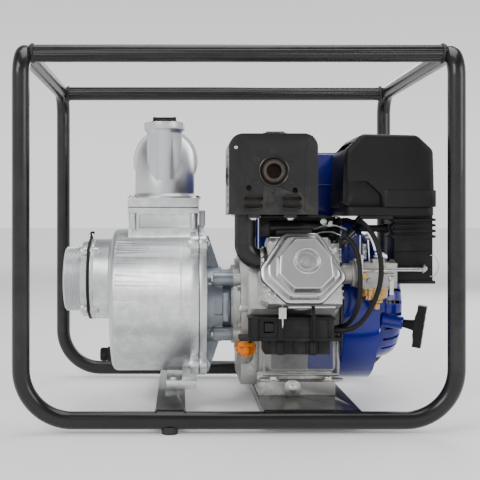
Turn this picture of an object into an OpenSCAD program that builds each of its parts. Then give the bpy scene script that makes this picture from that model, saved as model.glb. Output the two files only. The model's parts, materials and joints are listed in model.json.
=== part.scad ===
/* [Frame] */
// Outside width of the frame, along the crankshaft
frame_w = 690; // [684:1:700]
// Outside depth of the frame, front to back
frame_d = 507; // [500:1:520]
// Overall height, from the floor to the top of the side hoops
frame_h = 598.5; // [590:0.5:610]
// Outside diameter of the frame tube
tube_d = 27; // [26:0.5:28]
// Wall thickness of the frame tube
tube_wall = 2; // [1.5:0.1:3]
// Centreline radius of the two bottom bends of each rail
bottom_bend_r = 78; // [70:1:85]
// Centreline radius of the top bends of the side hoops
top_bend_r = 42; // [38:1:46]
// Gap between the floor and the bottom rails
foot_gap = 6.5; // [6:0.5:8]
// Thickness of the two crossmembers
plate_t = 4; // [3:0.5:4]

/* [Pump] */
// Outside radius of the pump casing
casing_r = 126; // [124:1:127]
// Outside diameter of the 4 inch hose threads
thread_d = 114.3; // [113:0.1:115]
// Bore of the suction and discharge ports
port_d = 98; // [94:1:99]
// Radius of the impeller
impeller_r = 78; // [70:1:80]
// Height of the suction port above the floor
suction_z = 220; // [218:1:222]

/* [Engine] */
// Height of the crankshaft above the floor
crank_z = 175; // [174:1:176]
// Angle of the cylinder above level
cylinder_tilt = 20; // [19:1:21]
// Bore of the cylinder
cylinder_bore = 88; // [86:1:88]
// Stroke of the piston
stroke = 64; // [60:1:64]
// Diameter of the output end of the crankshaft
shaft_d = 25; // [25:0.1:25.4]

/* [Hidden] */
$fn = 64;

// running clearance, loose gap and the overshoot of cutting tools
fit_gap = 0.05;
loose_gap = 0.4;
cut = 1;
cope_d = tube_d + 0.02;
screw_hole_d = 6.6;
bolt_head_d = 14;

// frame
tube_r = tube_d / 2;
half_w = frame_w / 2 - tube_r;
half_d = frame_d / 2 - tube_r;
rail_z = foot_gap + tube_r;
hoop_z = frame_h - tube_r;
hoop_base_z = rail_z + bottom_bend_r;
top_tube_y = half_d - 25;
top_tube_z = hoop_z - 2;
top_tube_end = half_w - 9;
plate_top = rail_z + tube_r + 1.5;
plate_end = half_d - 6;
flange_end = half_d - 18;
pump_plate_x = [-127, -81];
engine_plate_x = [38, 186];
front_foot_x = -105;
engine_foot = [112, 180];

// pump casing, from the suction end to the engine
casing_z = 183;
casing_x = [-208, -72];
casing_wall = 8;
spigot_d = 142;
spigot_x = -246;
recess_r = 58;
gasket_x = -251;
nipple_x = -293;
nipple_flange_x = -262;
flange_r = 134;
lobe_r = 15;
lobe_pcd_r = 143;
lobe_angles = [45, 135, 225, 315];
casing_flange_x = [-72, -58.5];
cover_x = [-57, -45];
elbow_x = -117;
neck_x = [-179, -58.5];
neck_half_y = 64;
neck_flange_z = [337, 346];
elbow_flange_z = [347.5, 363];
elbow_bolt = [55, 56];
bolt_d = 8;
bolt_hole_d = 8.8;
elbow_r = 53;
elbow_bend_r = 60;
outlet_z = 436;
thread_y = [75, 110];
priming_y = -22;
priming_d = 62;
priming_bore_r = 22;
priming_rim_z = [484, 496];
drain_y = -40;
drain_z = 90;
drain_bore_r = 11;
drain_head_d = 36;
foot_bolt = [-100, 60];
foot_pad_h = 15;
nipple_flange_d = 134;
flap_t = 5;
flap_d = 104;
rim_d = 72;
elbow_base_x = [elbow_x - 63, elbow_x + 60];
seal_d = 60;
volute_r = 98;
volute_x = -150;
volute_wall = 6;
hub_x = [-138, -104];
impeller_blade_angles = [0, 120, 240];
screw_r = 66;
screw_angles = [48, 132, 228, 312];

// engine adapter
adapter_x = [-45, 2];
pillar_r = 73;
pillar_angles = [40, 140, 220, 320];
pillar_x = -32;
pillar_d = 24;
adapter_barrel_d = 134;
adapter_bore_d = 96;

// engine
engine_x = 106;
case_x = [45, 180];
case_y = [-95, 100];
case_z = [57, 240];
base_x = [40, 167];
base_y = [-126, 126];
base_bolts = [[66, -112], [157, -112], [66, 112], [157, 112]];
barrel_s = [92, 158];
head_s = [158, 190];
cover_s = [192, 222];
cover_up = 8;
head_half = 50;
fin_w = 3;
spark_plug_at = [40, 30];
spark_plug_d = 14;
exhaust_d = 34;
exhaust_bore_d = 26;
outlet_at = [57, 401];
drain_bolt_at = [96, 47];
drain_bolt_d = 14;
main_d = 35;
web_r = 44;
flywheel_x = [190, 228];
housing_x = [181, 240];
housing_r = 130;
recoil_x = [240, 292];
recoil_r = 96;
tank_x = [10, 250];
tank_y = [-40, 190];
tank_z = [332, 440];
filler = [87, 60];
tank_leg_x = [50, 155];
tank_leg_y = [-20, 70];
side_bolt_r = 88;
side_bolt_angles = [5, 75, 105, 175, 240, 300];
exhaust_s = 170;
exhaust_up = 29;
fill_at = [20, -100, 102];
fill_turn = [55, 0, 0];
fill_d = 18;

// carburetor: intake axis, choke shaft and fuel valve shaft
intake_y = -156;
intake_z = 238;
choke_at = [225, -165];
fuel_valve_at = [246, 225];
lever_pin_d = 6;
pin_hole_d = lever_pin_d + 2 * fit_gap;

// air cleaner
cleaner_z = 345;
breather_at = [-136, 311];

// control box and its switch
switch_pin = [-174.5, 154];

// handle of the recoil starter: where it rests and how it points
handle_at = [284, -106, 152];
handle_turn = [0, 8.6, -20];
rope_d = 6;
rope_bore_d = 10;

module rod_x(x0, x1, y, z, d) {
    translate([x0, y, z]) rotate([0, 90, 0]) cylinder(d = d, h = x1 - x0);
}

module rod_y(y0, y1, x, z, d) {
    translate([x, y0, z]) rotate([-90, 0, 0]) cylinder(d = d, h = y1 - y0);
}

module rod_z(z0, z1, x, y, d) {
    translate([x, y, z0]) cylinder(d = d, h = z1 - z0);
}

module block(x, y, z) {
    translate([x[0], y[0], z[0]]) cube([x[1] - x[0], y[1] - y[0], z[1] - z[0]]);
}

// flat outline with round corners, from exact circles and squares
module round_rect(x, y, r) {
    translate([x[0] + r, y[0]]) square([x[1] - x[0] - 2 * r, y[1] - y[0]]);
    translate([x[0], y[0] + r]) square([x[1] - x[0], y[1] - y[0] - 2 * r]);
    for (i = [x[0] + r, x[1] - r], j = [y[0] + r, y[1] - r]) translate([i, j]) circle(r);
}

// block whose upright edges are rounded
module round_block(x, y, z, r) {
    translate([0, 0, z[0]]) linear_extrude(z[1] - z[0]) round_rect(x, y, r);
}

// block whose edges along Y are rounded, seen as a round outline from the front
module front_round_block(x, y, z, r) {
    translate([0, y[1], 0]) rotate([90, 0, 0]) linear_extrude(y[1] - y[0]) round_rect(x, z, r);
}

// block whose edges along X are rounded
module side_round_block(x, y, z, r) {
    translate([x[0], 0, 0]) rotate([90, 0, 90]) linear_extrude(x[1] - x[0]) round_rect(y, z, r);
}

// hexagon bolt with its shank along +Z and its head below the seat at z = 0
module bolt(d, len, head_d) {
    cylinder(d = d, h = len);
    translate([0, 0, -0.6 * d]) cylinder(d = head_d, h = 0.6 * d, $fn = 6);
    translate([0, 0, -0.1 * d]) cylinder(d = head_d + 3, h = 0.1 * d);
}

// places its children along the tilted cylinder: -Y runs out from the crankshaft
module tilted() {
    translate([engine_x, 0, crank_z]) rotate([-cylinder_tilt, 0, 0]) children();
}

// cylinder around the tilted axis, from distance s0 to s1
module tilted_rod(s0, s1, d) {
    tilted() rod_y(-s1, -s0, 0, 0, d);
}

// ---- tube swept along hand-chosen points, used by the hoses ----
function unit(v) = v / norm(v);
function path_dir(p, i) =
    i == 0 ? unit(p[1] - p[0]) :
    i == len(p) - 1 ? unit(p[i] - p[i - 1]) : unit(p[i + 1] - p[i - 1]);
function side_of(d) = unit(cross(d, [1, 0.15, 0.1]));
function ring(p, i, r, n) =
    let (d = path_dir(p, i), u = side_of(d), v = cross(d, u))
    [for (k = [0 : n - 1]) p[i] + r * (cos(360 * k / n) * u + sin(360 * k / n) * v)];
module swept_tube(p, d, n) {
    m = len(p);
    rings = [for (i = [0 : m - 1]) each ring(p, i, d / 2, n)];
    walls = [for (i = [0 : m - 2], k = [0 : n - 1])
        let (a = i * n + k, b = i * n + (k + 1) % n) [a, b, b + n, a + n]];
    ends = [[for (k = [0 : n - 1]) n - 1 - k], [for (k = [0 : n - 1]) (m - 1) * n + k]];
    faces = [for (f = concat(walls, ends)) [for (j = [len(f) - 1 : -1 : 0]) f[j]]];
    polyhedron(points = rings, faces = faces);
}

// ---- frame ----
module tube_ring() {
    difference() {
        circle(d = tube_d);
        circle(d = tube_d - 2 * tube_wall);
    }
}

module pipe(h) {
    linear_extrude(h) tube_ring();
}

module bend(r) {
    rotate_extrude(angle = 90) translate([r, 0]) tube_ring();
}

// bottom rail with its two bends, in the plane y = at
module lower_rail(at) {
    bend_x = half_w - bottom_bend_r;
    color("black") {
        translate([-bend_x, at, rail_z]) rotate([0, 90, 0]) pipe(2 * bend_x);
        translate([bend_x, at, hoop_base_z]) rotate([90, 0, 0]) rotate([0, 0, -90]) bend(bottom_bend_r);
        translate([-bend_x, at, hoop_base_z]) rotate([90, 0, 0]) rotate([0, 0, 180]) bend(bottom_bend_r);
    }
}

module front_lower_rail() { lower_rail(-half_d); }

module rear_lower_rail() { lower_rail(half_d); }

// side hoop in the plane x = at: two posts, two bends and the crossbar between them
module side_hoop(at) {
    post_h = hoop_z - top_bend_r - hoop_base_z;
    bend_y = half_d - top_bend_r;
    color("black") {
        for (s = [-1, 1]) translate([at, s * half_d, hoop_base_z]) pipe(post_h);
        translate([at, -bend_y, hoop_z]) rotate([-90, 0, 0]) pipe(2 * bend_y);
        translate([at, bend_y, hoop_z - top_bend_r]) rotate([90, 0, 90]) bend(top_bend_r);
        translate([at, -bend_y, hoop_z - top_bend_r]) rotate([90, 0, 90])
            rotate([0, 0, 90]) bend(top_bend_r);
    }
}

module left_side_hoop() { side_hoop(-half_w); }

module right_side_hoop() { side_hoop(half_w); }

// solid envelope of one top bend of a hoop, which the top tubes are coped to
module hoop_bend_envelope(at, s) {
    bend_y = half_d - top_bend_r;
    translate([at, s * bend_y, hoop_z - top_bend_r]) rotate([90, 0, s > 0 ? 90 : -90])
        rotate_extrude(angle = 90) translate([top_bend_r, 0]) circle(d = cope_d);
    translate([at, s * bend_y, hoop_z]) rotate([s > 0 ? 90 : -90, 0, 0])
        cylinder(d = cope_d, h = 30);
}

module top_tube(s) {
    color("black") difference() {
        translate([-top_tube_end, s * top_tube_y, top_tube_z]) rotate([0, 90, 0]) pipe(2 * top_tube_end);
        for (x = [-half_w, half_w]) hoop_bend_envelope(x, s);
    }
}

module front_top_tube() { top_tube(-1); }

module rear_top_tube() { top_tube(1); }

module rail_envelopes() {
    end_x = half_w - bottom_bend_r;
    for (s = [-1, 1]) rod_x(-end_x, end_x, s * half_d, rail_z, cope_d);
}

// pressed channel that lies between the rails, open below
module crossmember(x) {
    lip_z = [plate_top - 16, plate_top - plate_t + cut];
    difference() {
        union() {
            block(x, [-plate_end, plate_end], [plate_top - plate_t, plate_top]);
            for (e = [x[0], x[1] - plate_t]) block([e, e + plate_t], [-flange_end, flange_end], lip_z);
        }
        rail_envelopes();
    }
}

module at_foot_bolts() {
    for (s = [-1, 1]) translate([foot_bolt[0], s * foot_bolt[1], 0]) children();
}

module pump_crossmember() {
    color("black") difference() {
        crossmember(pump_plate_x);
        at_foot_bolts() rod_z(0, plate_top + cut, 0, 0, bolt_hole_d);
    }
}

module engine_crossmember() {
    color("black") difference() {
        crossmember(engine_plate_x);
        for (b = base_bolts) rod_z(0, plate_top + cut, b[0], b[1], bolt_hole_d);
    }
}

module rubber_feet() {
    color("dimgray") {
        for (s = [-1, 1]) {
            difference() {
                rod_z(0, rail_z - 9, front_foot_x, s * half_d, 25);
                rod_x(front_foot_x - 20, front_foot_x + 20, s * half_d, rail_z, cope_d);
            }
            rod_z(0, plate_top - plate_t, engine_foot[0], s * engine_foot[1], 34);
        }
    }
}

// ---- pump ----
module at_lobes(r, angles, z) {
    for (a = angles) translate([0, r * cos(a), z + r * sin(a)]) children();
}

module at_screws() {
    at_lobes(screw_r, screw_angles, suction_z) children();
}

module suction_nipple() {
    color("silver") difference() {
        union() {
            rod_x(nipple_x, nipple_flange_x + cut, 0, suction_z, thread_d);
            rod_x(nipple_flange_x, gasket_x, 0, suction_z, nipple_flange_d);
            at_screws() rod_x(nipple_flange_x, gasket_x, 0, 0, 15);
        }
        rod_x(nipple_x - cut, gasket_x + cut, 0, suction_z, port_d);
        at_screws() rod_x(nipple_flange_x - cut, gasket_x + cut, 0, 0, screw_hole_d);
    }
}

module suction_gasket() {
    color("black") difference() {
        union() {
            rod_x(gasket_x, spigot_x, 0, suction_z, 144);
            block([gasket_x, spigot_x], [-5, 5], [suction_z + 68, suction_z + 76]);
        }
        rod_x(gasket_x - cut, spigot_x + cut, 0, suction_z, port_d);
        at_screws() rod_x(gasket_x - cut, spigot_x + cut, 0, 0, screw_hole_d);
    }
}

// rubber flap that hangs behind the suction gasket and lets water in only
module check_valve_flap() {
    flap_x = spigot_x + loose_gap;
    hinge_z = suction_z + 52;
    strap = 11;
    color("black") {
        rod_x(flap_x, flap_x + flap_t, 0, suction_z - 2, flap_d);
        block([flap_x, flap_x + flap_t], [-strap, strap], [suction_z + 40, hinge_z]);
        rod_y(-strap, strap, flap_x + flap_t / 2, hinge_z, flap_t);
        rod_x(flap_x + flap_t, flap_x + flap_t + 4, 0, suction_z - 2, 70);
    }
}

// casing flange outline with its bolt lobes, shared by the casing, its gasket and the cover
module lobed_flange(x, r) {
    rod_x(x[0], x[1], 0, casing_z, 2 * r);
    at_lobes(lobe_pcd_r, lobe_angles, casing_z) rod_x(x[0], x[1], 0, 0, 2 * lobe_r);
}

module lobe_holes(x) {
    at_lobes(lobe_pcd_r, lobe_angles, casing_z) rod_x(x[0] - cut, x[1] + cut, 0, 0, bolt_hole_d);
}

module at_elbow_bolts() {
    for (i = [-1, 1], j = [-1, 1])
        translate([elbow_x + i * elbow_bolt[0], j * elbow_bolt[1], 0]) children();
}

module pump_casing() {
    inner_r = casing_r - casing_wall;
    color("silver") difference() {
        union() {
            rod_x(casing_x[0], casing_flange_x[0] + cut, 0, casing_z, 2 * casing_r);
            lobed_flange(casing_flange_x, flange_r);
            rod_x(spigot_x, casing_x[0] + casing_wall, 0, suction_z, spigot_d);
            block(neck_x, [-58, 58], [270, neck_flange_z[0] + cut]);
            block(elbow_base_x, [-neck_half_y, neck_half_y], neck_flange_z);
            block([-113, -61], [-75, 75], [plate_top, plate_top + foot_pad_h]);
            block([-86, -61], [-62, 62], [plate_top + foot_pad_h - cut, 90]);
        }
        rod_x(casing_x[0] + casing_wall, cover_x[0], 0, casing_z, 2 * inner_r);
        rod_x(spigot_x - cut, casing_x[0] + casing_wall + cut, 0, suction_z, 2 * recess_r);
        rod_z(260, neck_flange_z[1] + cut, elbow_x, 0, port_d);
        rod_x(casing_x[0] - cut, casing_x[0] + casing_wall + cut, drain_y, drain_z, 2 * drain_bore_r);
        lobe_holes(casing_flange_x);
        at_elbow_bolts() rod_z(neck_flange_z[0] - 8, neck_flange_z[1] + cut, 0, 0, bolt_hole_d);
        at_screws() rod_x(spigot_x - cut, spigot_x + 14, 0, 0, screw_hole_d);
        at_foot_bolts() rod_z(plate_top - cut, plate_top + foot_pad_h + cut, 0, 0, bolt_hole_d);
    }
}

// inner volute that guides the water round the impeller, open to the discharge at the top
module volute_insert() {
    eye_r = 38;
    inner_x = volute_x + volute_wall;
    color("gray") difference() {
        rod_x(volute_x, cover_x[0], 0, crank_z, 2 * volute_r);
        rod_x(inner_x, cover_x[0] + cut, 0, crank_z, 2 * (volute_r - volute_wall));
        rod_x(volute_x - cut, inner_x + cut, 0, crank_z, 2 * eye_r);
        block([inner_x, cover_x[0] - 12], [-30, 30], [crank_z + 60, crank_z + 110]);
    }
}

module impeller() {
    shroud_x = [hub_x[1] - 6, hub_x[1]];
    // each blade is a curved wall: its arc radius, thickness and width
    blade = [31, 6, 30];
    color("dimgray") difference() {
        union() {
            rod_x(hub_x[0], hub_x[1], 0, crank_z, 44);
            rod_x(shroud_x[0], shroud_x[1], 0, crank_z, 2 * impeller_r);
            for (a = impeller_blade_angles)
                translate([hub_x[0], 0, crank_z]) rotate([a, 0, 0]) translate([0, 0, 12]) rotate([0, 90, 0])
                    translate([-18, 34, 0]) rotate([0, 0, -110]) rotate_extrude(angle = 100)
                        translate([blade[0], 0]) square([blade[1], blade[2]]);
        }
        rod_x(hub_x[0] - cut, hub_x[1] + cut, 0, crank_z, shaft_d + 2 * fit_gap);
    }
}

module shaft_seal() {
    seal_x = -75;
    color("dimgray") difference() {
        union() {
            rod_x(seal_x, cover_x[0], 0, crank_z, 50);
            rod_x(cover_x[0], cover_x[1], 0, crank_z, seal_d);
        }
        rod_x(seal_x - cut, cover_x[1] + cut, 0, crank_z, shaft_d + 2 * loose_gap);
    }
}

module casing_gasket() {
    x = [casing_flange_x[1], cover_x[0]];
    color("black") difference() {
        lobed_flange(x, flange_r - 1);
        rod_x(x[0] - cut, x[1] + cut, 0, casing_z, 2 * (casing_r - casing_wall));
        lobe_holes(x);
    }
}

module casing_cover() {
    color("silver") difference() {
        union() {
            lobed_flange(cover_x, flange_r);
            block([cover_x[0] + 2, cover_x[1]], [-22, 22], [casing_z + flange_r - 10, 342]);
        }
        rod_x(cover_x[0] - cut, cover_x[1] + cut, 0, crank_z, seal_d + 0.02);
        lobe_holes(cover_x);
    }
}

module at_pillars() {
    for (a = pillar_angles) translate([0, pillar_r * cos(a), crank_z + pillar_r * sin(a)]) children();
}

// triangular web between the cover side and the adapter barrel
module gusset(s) {
    x = adapter_x[0];
    translate([0, 6, crank_z]) rotate([90, 0, 0]) linear_extrude(12)
        polygon([[x, s * 60], [x, s * 122], [x + 6, s * 122], [-20, s * 66], [-20, s * 60]]);
}

module engine_adapter() {
    window_z = [crank_z - 14, crank_z + 14];
    color("slategray") difference() {
        union() {
            rod_x(adapter_x[0], -16, 0, crank_z, adapter_barrel_d);
            rod_x(-17, adapter_x[1], 0, crank_z, 118);
            at_pillars() rod_x(pillar_x, adapter_x[1], 0, 0, pillar_d);
            for (s = [-1, 1]) gusset(s);
        }
        rod_x(adapter_x[0] - cut, adapter_x[1] + cut, 0, crank_z, adapter_bore_d);
        at_pillars() rod_x(pillar_x - cut, adapter_x[1] + cut, 0, 0, 10);
        at_pillars() rod_x(adapter_x[0] - cut, pillar_x, 0, 0, 20);
        for (s = [-1, 1]) block([-30, -8], [s * 75 - 20, s * 75 + 20], window_z);
    }
}

module discharge_gasket() {
    z = [neck_flange_z[1], elbow_flange_z[0]];
    color("black") difference() {
        block([elbow_base_x[0] + 1, elbow_base_x[1] - 1], [1 - neck_half_y, neck_half_y - 1], z);
        rod_z(z[0] - cut, z[1] + cut, elbow_x, 0, port_d);
        at_elbow_bolts() rod_z(z[0] - cut, z[1] + cut, 0, 0, bolt_hole_d);
    }
}

// elbow that turns the flow from up to backwards; the priming neck stands on its outer bend
module discharge_elbow() {
    bend_z = outlet_z - elbow_bend_r;
    color("silver") difference() {
        union() {
            block(elbow_base_x, [-neck_half_y, neck_half_y], elbow_flange_z);
            rod_z(elbow_flange_z[0], bend_z, elbow_x, 0, 2 * elbow_r);
            translate([elbow_x, elbow_bend_r, bend_z]) rotate([90, 0, 90]) rotate([0, 0, 90])
                rotate_extrude(angle = 90) translate([elbow_bend_r, 0]) circle(elbow_r);
            rod_y(elbow_bend_r, thread_y[0] + cut, elbow_x, outlet_z, 2 * elbow_r);
            rod_y(thread_y[0], thread_y[1], elbow_x, outlet_z, thread_d);
            rod_z(bend_z + 20, priming_rim_z[1], elbow_x, priming_y, priming_d);
            rod_z(priming_rim_z[0], priming_rim_z[1], elbow_x, priming_y, rim_d);
        }
        rod_z(elbow_flange_z[0] - cut, bend_z, elbow_x, 0, port_d);
        translate([elbow_x, elbow_bend_r, bend_z]) rotate([90, 0, 90]) rotate([0, 0, 90])
            rotate_extrude(angle = 90) translate([elbow_bend_r, 0]) circle(d = port_d);
        rod_y(elbow_bend_r, thread_y[1] + cut, elbow_x, outlet_z, port_d);
        rod_z(bend_z + 20, priming_rim_z[1] + cut, elbow_x, priming_y, 2 * priming_bore_r);
        at_elbow_bolts() rod_z(elbow_flange_z[0] - cut, elbow_flange_z[1] + cut, 0, 0, bolt_hole_d);
    }
}

module priming_plug() {
    top = priming_rim_z[1];
    color("black") {
        rod_z(top - 14, top + 2, elbow_x, priming_y, 2 * (priming_bore_r - fit_gap));
        block([elbow_x - 14, elbow_x + 14], [priming_y - 4, priming_y + 4], [top + 2, top + 11]);
    }
}

module drain_plug() {
    face = casing_x[0];
    color("black") {
        rod_x(face, face + casing_wall, drain_y, drain_z, 2 * (drain_bore_r - fit_gap));
        rod_x(face - 6, face, drain_y, drain_z, drain_head_d);
        block([face - 21, face - 6], [drain_y - 5, drain_y + 5], [drain_z - 9, drain_z + 9]);
    }
}

module pump_bolts() {
    color("lightgray") {
        at_lobes(lobe_pcd_r, lobe_angles, casing_z)
            translate([casing_flange_x[0], 0, 0]) rotate([0, 90, 0]) bolt(bolt_d, 34, bolt_head_d);
        at_elbow_bolts() translate([0, 0, elbow_flange_z[1]]) rotate([180, 0, 0])
            bolt(bolt_d, 24, bolt_head_d);
        at_screws()
            translate([nipple_flange_x, 0, 0]) rotate([0, 90, 0]) bolt(6, 28, 11);
        at_foot_bolts() translate([0, 0, plate_top + foot_pad_h]) rotate([180, 0, 0])
            bolt(bolt_d, 24, bolt_head_d);
        at_pillars() translate([pillar_x, 0, 0]) rotate([0, 90, 0]) bolt(bolt_d, 34, bolt_head_d);
    }
}

// ---- engine ----
module at_base_bolts() {
    for (b = base_bolts) translate([b[0], b[1], 0]) children();
}

module crankcase() {
    wall = 8;
    color("gray") difference() {
        union() {
            side_round_block(case_x, case_y, case_z, 24);
            block(base_x, base_y, [plate_top, case_z[0] + 12]);
        }
        // room inside for the crank, and the slanted face that the cylinder bolts to
        side_round_block([case_x[0] + wall, case_x[1] - wall], [case_y[0] + wall, case_y[1] - wall],
            [case_z[0] + wall, case_z[1] - wall], 16);
        tilted() translate([-100, -300, -72]) cube([200, 300 - barrel_s[0], 300]);
        tilted_rod(20, barrel_s[0] + cut, cylinder_bore + 4);
        rod_x(case_x[0] - cut, case_x[0] + wall + cut, 0, crank_z, main_d + 2 * fit_gap + 60);
        rod_x(case_x[1] - wall - cut, case_x[1] + cut, 0, crank_z, main_d + 2 * fit_gap);
        for (y = [[base_y[0] - cut, case_y[0]], [case_y[1], base_y[1] + cut]])
            block([base_x[0] - cut, base_x[1] + cut], y, [case_z[0], case_z[0] + 20]);
        at_base_bolts() rod_z(plate_top - cut, case_z[0] + 30, 0, 0, bolt_hole_d);
        rod_y(base_y[0] - cut, base_y[0] + 20, drain_bolt_at[0], drain_bolt_at[1], drain_bolt_d + 0.2);
    }
}

module at_side_bolts() {
    for (a = side_bolt_angles)
        translate([0, side_bolt_r * cos(a), crank_z - 8 + side_bolt_r * sin(a)]) children();
}

module side_cover() {
    x = [adapter_x[1], case_x[0]];
    disc_x = x[0] + 12;
    color("gray") difference() {
        union() {
            rod_x(disc_x, x[1], 0, crank_z - 8, 190);
            side_round_block([disc_x, x[1]], [-88, 96], [case_z[0] - 14, crank_z], 20);
            rod_x(x[0], disc_x + cut, 0, crank_z, 140);
            at_pillars() rod_x(x[0], disc_x + cut, 0, 0, pillar_d);
            translate(fill_at) rotate(fill_turn) translate([0, 0, -14]) cylinder(d = 28, h = 28);
        }
        rod_x(x[0] + 20, x[1] + cut, 0, crank_z - 8, 160);
        rod_x(x[0] - cut, x[0] + 21, 0, crank_z, main_d + 2 * fit_gap);
        translate(fill_at) rotate(fill_turn) translate([0, 0, -40])
            cylinder(d = fill_d + 2 * fit_gap, h = 80);
        block([base_x[0] - loose_gap, x[1] + cut], base_y, [0, case_z[0] + 12 + loose_gap]);
        at_side_bolts() rod_x(x[0], x[0] + 21, 0, 0, screw_hole_d);
    }
}

// cranked shaft: output end, main journals, webs, crankpin and flywheel end
module crankshaft() {
    pin_y = -stroke / 2 * cos(cylinder_tilt);
    pin_z = crank_z + stroke / 2 * sin(cylinder_tilt);
    web_x = [[78, 91], [121, 134]];
    color("silver") {
        rod_x(-137, adapter_x[1] + 2, 0, crank_z, shaft_d);
        rod_x(adapter_x[1] + 1, web_x[0][0] + cut, 0, crank_z, main_d);
        rod_x(web_x[1][1] - cut, 186, 0, crank_z, main_d);
        rod_x(185, 262, 0, crank_z, shaft_d);
        for (w = web_x) rod_x(w[0], w[1], 0, crank_z, 2 * web_r);
        rod_x(web_x[0][1] - cut, web_x[1][0] + cut, pin_y, pin_z, 30);
    }
}

// piston at top dead centre, with its crown towards the head
module piston() {
    crown_s = barrel_s[1] - 2;
    skirt_s = crown_s - 42;
    color("silver") difference() {
        tilted_rod(skirt_s, crown_s, cylinder_bore - 2 * fit_gap);
        tilted_rod(skirt_s - cut, crown_s - 12, cylinder_bore - 14);
    }
}

module cylinder_barrel() {
    color("silver") difference() {
        union() {
            tilted_rod(barrel_s[0], barrel_s[1], 104);
            tilted() block([-58, 60], [-barrel_s[0] - 8, -barrel_s[0]], [-50, 54]);
            tilted() block([-56, 60], [-barrel_s[1], -barrel_s[1] + 8], [-48, 50]);
            for (s = [barrel_s[0] + 13 : 7 : barrel_s[1] - 11])
                tilted() block([-82, 62], [-s - 2.5, -s], [-48, 50]);
        }
        tilted_rod(barrel_s[0] - cut, barrel_s[1] + cut, cylinder_bore);
    }
}

module cylinder_head() {
    mid_s = (head_s[0] + head_s[1]) / 2;
    span = [-head_s[1], -head_s[0]];
    fin_span = [span[0] + 4, span[1]];
    color("silver") difference() {
        union() {
            tilted() block([-56, 60], span, [-head_half, head_half]);
            tilted() block([-56, 44], span, [head_half - cut, head_half + 10]);
            for (z = [-40 : 10 : 40]) tilted() block([55, 64], fin_span, [z, z + fin_w]);
            for (z = [-40 : 10 : 0]) tilted() block([-64, -55], fin_span, [z, z + fin_w]);
        }
        tilted_rod(head_s[0] - cut, head_s[0] + 8, 74);
        // exhaust port to the left, intake port to the right, plug hole on the upper right
        tilted() rod_x(-70, -30, -exhaust_s, exhaust_up, exhaust_bore_d);
        tilted() rod_x(30, 70, -mid_s, 8, 24);
        tilted() translate([spark_plug_at[0], -mid_s, spark_plug_at[1]]) rotate([0, 45, 0])
            cylinder(d = spark_plug_d + 2 * fit_gap, h = 60);
    }
}

// outline of the valve cover: wide low down and narrow at the top
module cover_outline(w, h) {
    flat = w / 2 - 5;
    translate([0, cover_up])
        polygon([[-flat, -h], [flat, -h], [w, -h / 3], [w, -h / 6], [flat, h], [-flat, h],
            [-w, 0], [-w, -h / 3]]);
}

module tilted_plate(s0, s1) {
    tilted() translate([0, -s0, 0]) rotate([90, 0, 0]) linear_extrude(s1 - s0) children();
}

module valve_cover() {
    color("silver") difference() {
        union() {
            tilted_plate(cover_s[0], cover_s[0] + 5) cover_outline(66, 58);
            tilted_plate(cover_s[0], cover_s[1] - 8) cover_outline(58, 51);
            tilted_plate(cover_s[0], cover_s[1]) cover_outline(45, 41);
        }
        tilted_plate(cover_s[0] - cut, cover_s[1] - 11) cover_outline(54, 47);
        translate([3, 0, cover_up]) tilted_rod(cover_s[1] - 4, cover_s[1] + 2 * cut, 40);
    }
}

module valve_cover_gasket() {
    color("black") difference() {
        tilted_plate(head_s[1], cover_s[0]) cover_outline(66.5, 58.5);
        tilted_plate(head_s[1] - cut, cover_s[0] + cut) cover_outline(54, 47);
    }
}

module exhaust_ring() {
    difference() {
        circle(d = exhaust_d);
        circle(d = exhaust_bore_d);
    }
}

module exhaust_pipe() {
    port_y = -exhaust_s * cos(cylinder_tilt) + exhaust_up * sin(cylinder_tilt);
    port_z = crank_z + exhaust_s * sin(cylinder_tilt) + exhaust_up * cos(cylinder_tilt);
    bend_r = 26;
    x = engine_x - 56;
    color("black") {
        translate([x, port_y, port_z]) rotate([0, -90, 0]) linear_extrude(8) exhaust_ring();
        translate([x - 8, port_y, port_z + bend_r]) rotate([90, 0, 0]) rotate([0, 0, 180])
            rotate_extrude(angle = 90) translate([bend_r, 0]) exhaust_ring();
        translate([x - 8 - bend_r, port_y, port_z + bend_r])
            linear_extrude(344 - port_z - bend_r) exhaust_ring();
    }
}

module muffler_can() {
    color("dimgray") difference() {
        union() {
            front_round_block([-6, 118], [-192, -112], [344, 448], 18);
            rod_y(-209, -191, outlet_at[0], outlet_at[1], 34);
        }
        rod_y(-210, -170, outlet_at[0], outlet_at[1], 24);
    }
}

// pressed guard round the front, top and sides of the silencer, open behind and below
module muffler_guard() {
    color("black") difference() {
        front_round_block([-13, 126], [-207, -98], [300, 460], 22);
        front_round_block([-11, 124], [-205, -97], [300, 458], 20);
        block([-20, 130], [-210, -90], [290, 333]);
        rod_y(-210, -200, outlet_at[0], outlet_at[1], 42);
        for (x = [10, 70], z = [343, 355]) block([x, x + 30], [-210, -200], [z, z + 6]);
    }
}

module carburetor() {
    y = [-180, -132];
    color("gray") difference() {
        union() {
            block([194, 256], y, [216, 256]);
            rod_x(170, 195, intake_y, intake_z, 34);
            rod_z(256, 262, choke_at[0], choke_at[1], 16);
        }
        rod_x(169, 257, intake_y, intake_z, 22);
        rod_z(235, 263, choke_at[0], choke_at[1], pin_hole_d);
        rod_y(y[0] - cut, y[0] + 12, fuel_valve_at[0], fuel_valve_at[1], pin_hole_d);
    }
}

module float_bowl() {
    color("goldenrod") {
        rod_z(196, 216, 222, -156, 50);
        rod_z(190, 196, 228, -156, 20);
        rod_z(180, 190, 228, -156, 12);
    }
}

// small lever on a shaft: pin down into its bore, arm outwards
module choke_lever() {
    color("dimgray") {
        rod_z(238, 264, choke_at[0], choke_at[1], lever_pin_d);
        block([choke_at[0] - 4, choke_at[0] + 4], [-196, -161], [264, 267]);
    }
}

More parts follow.
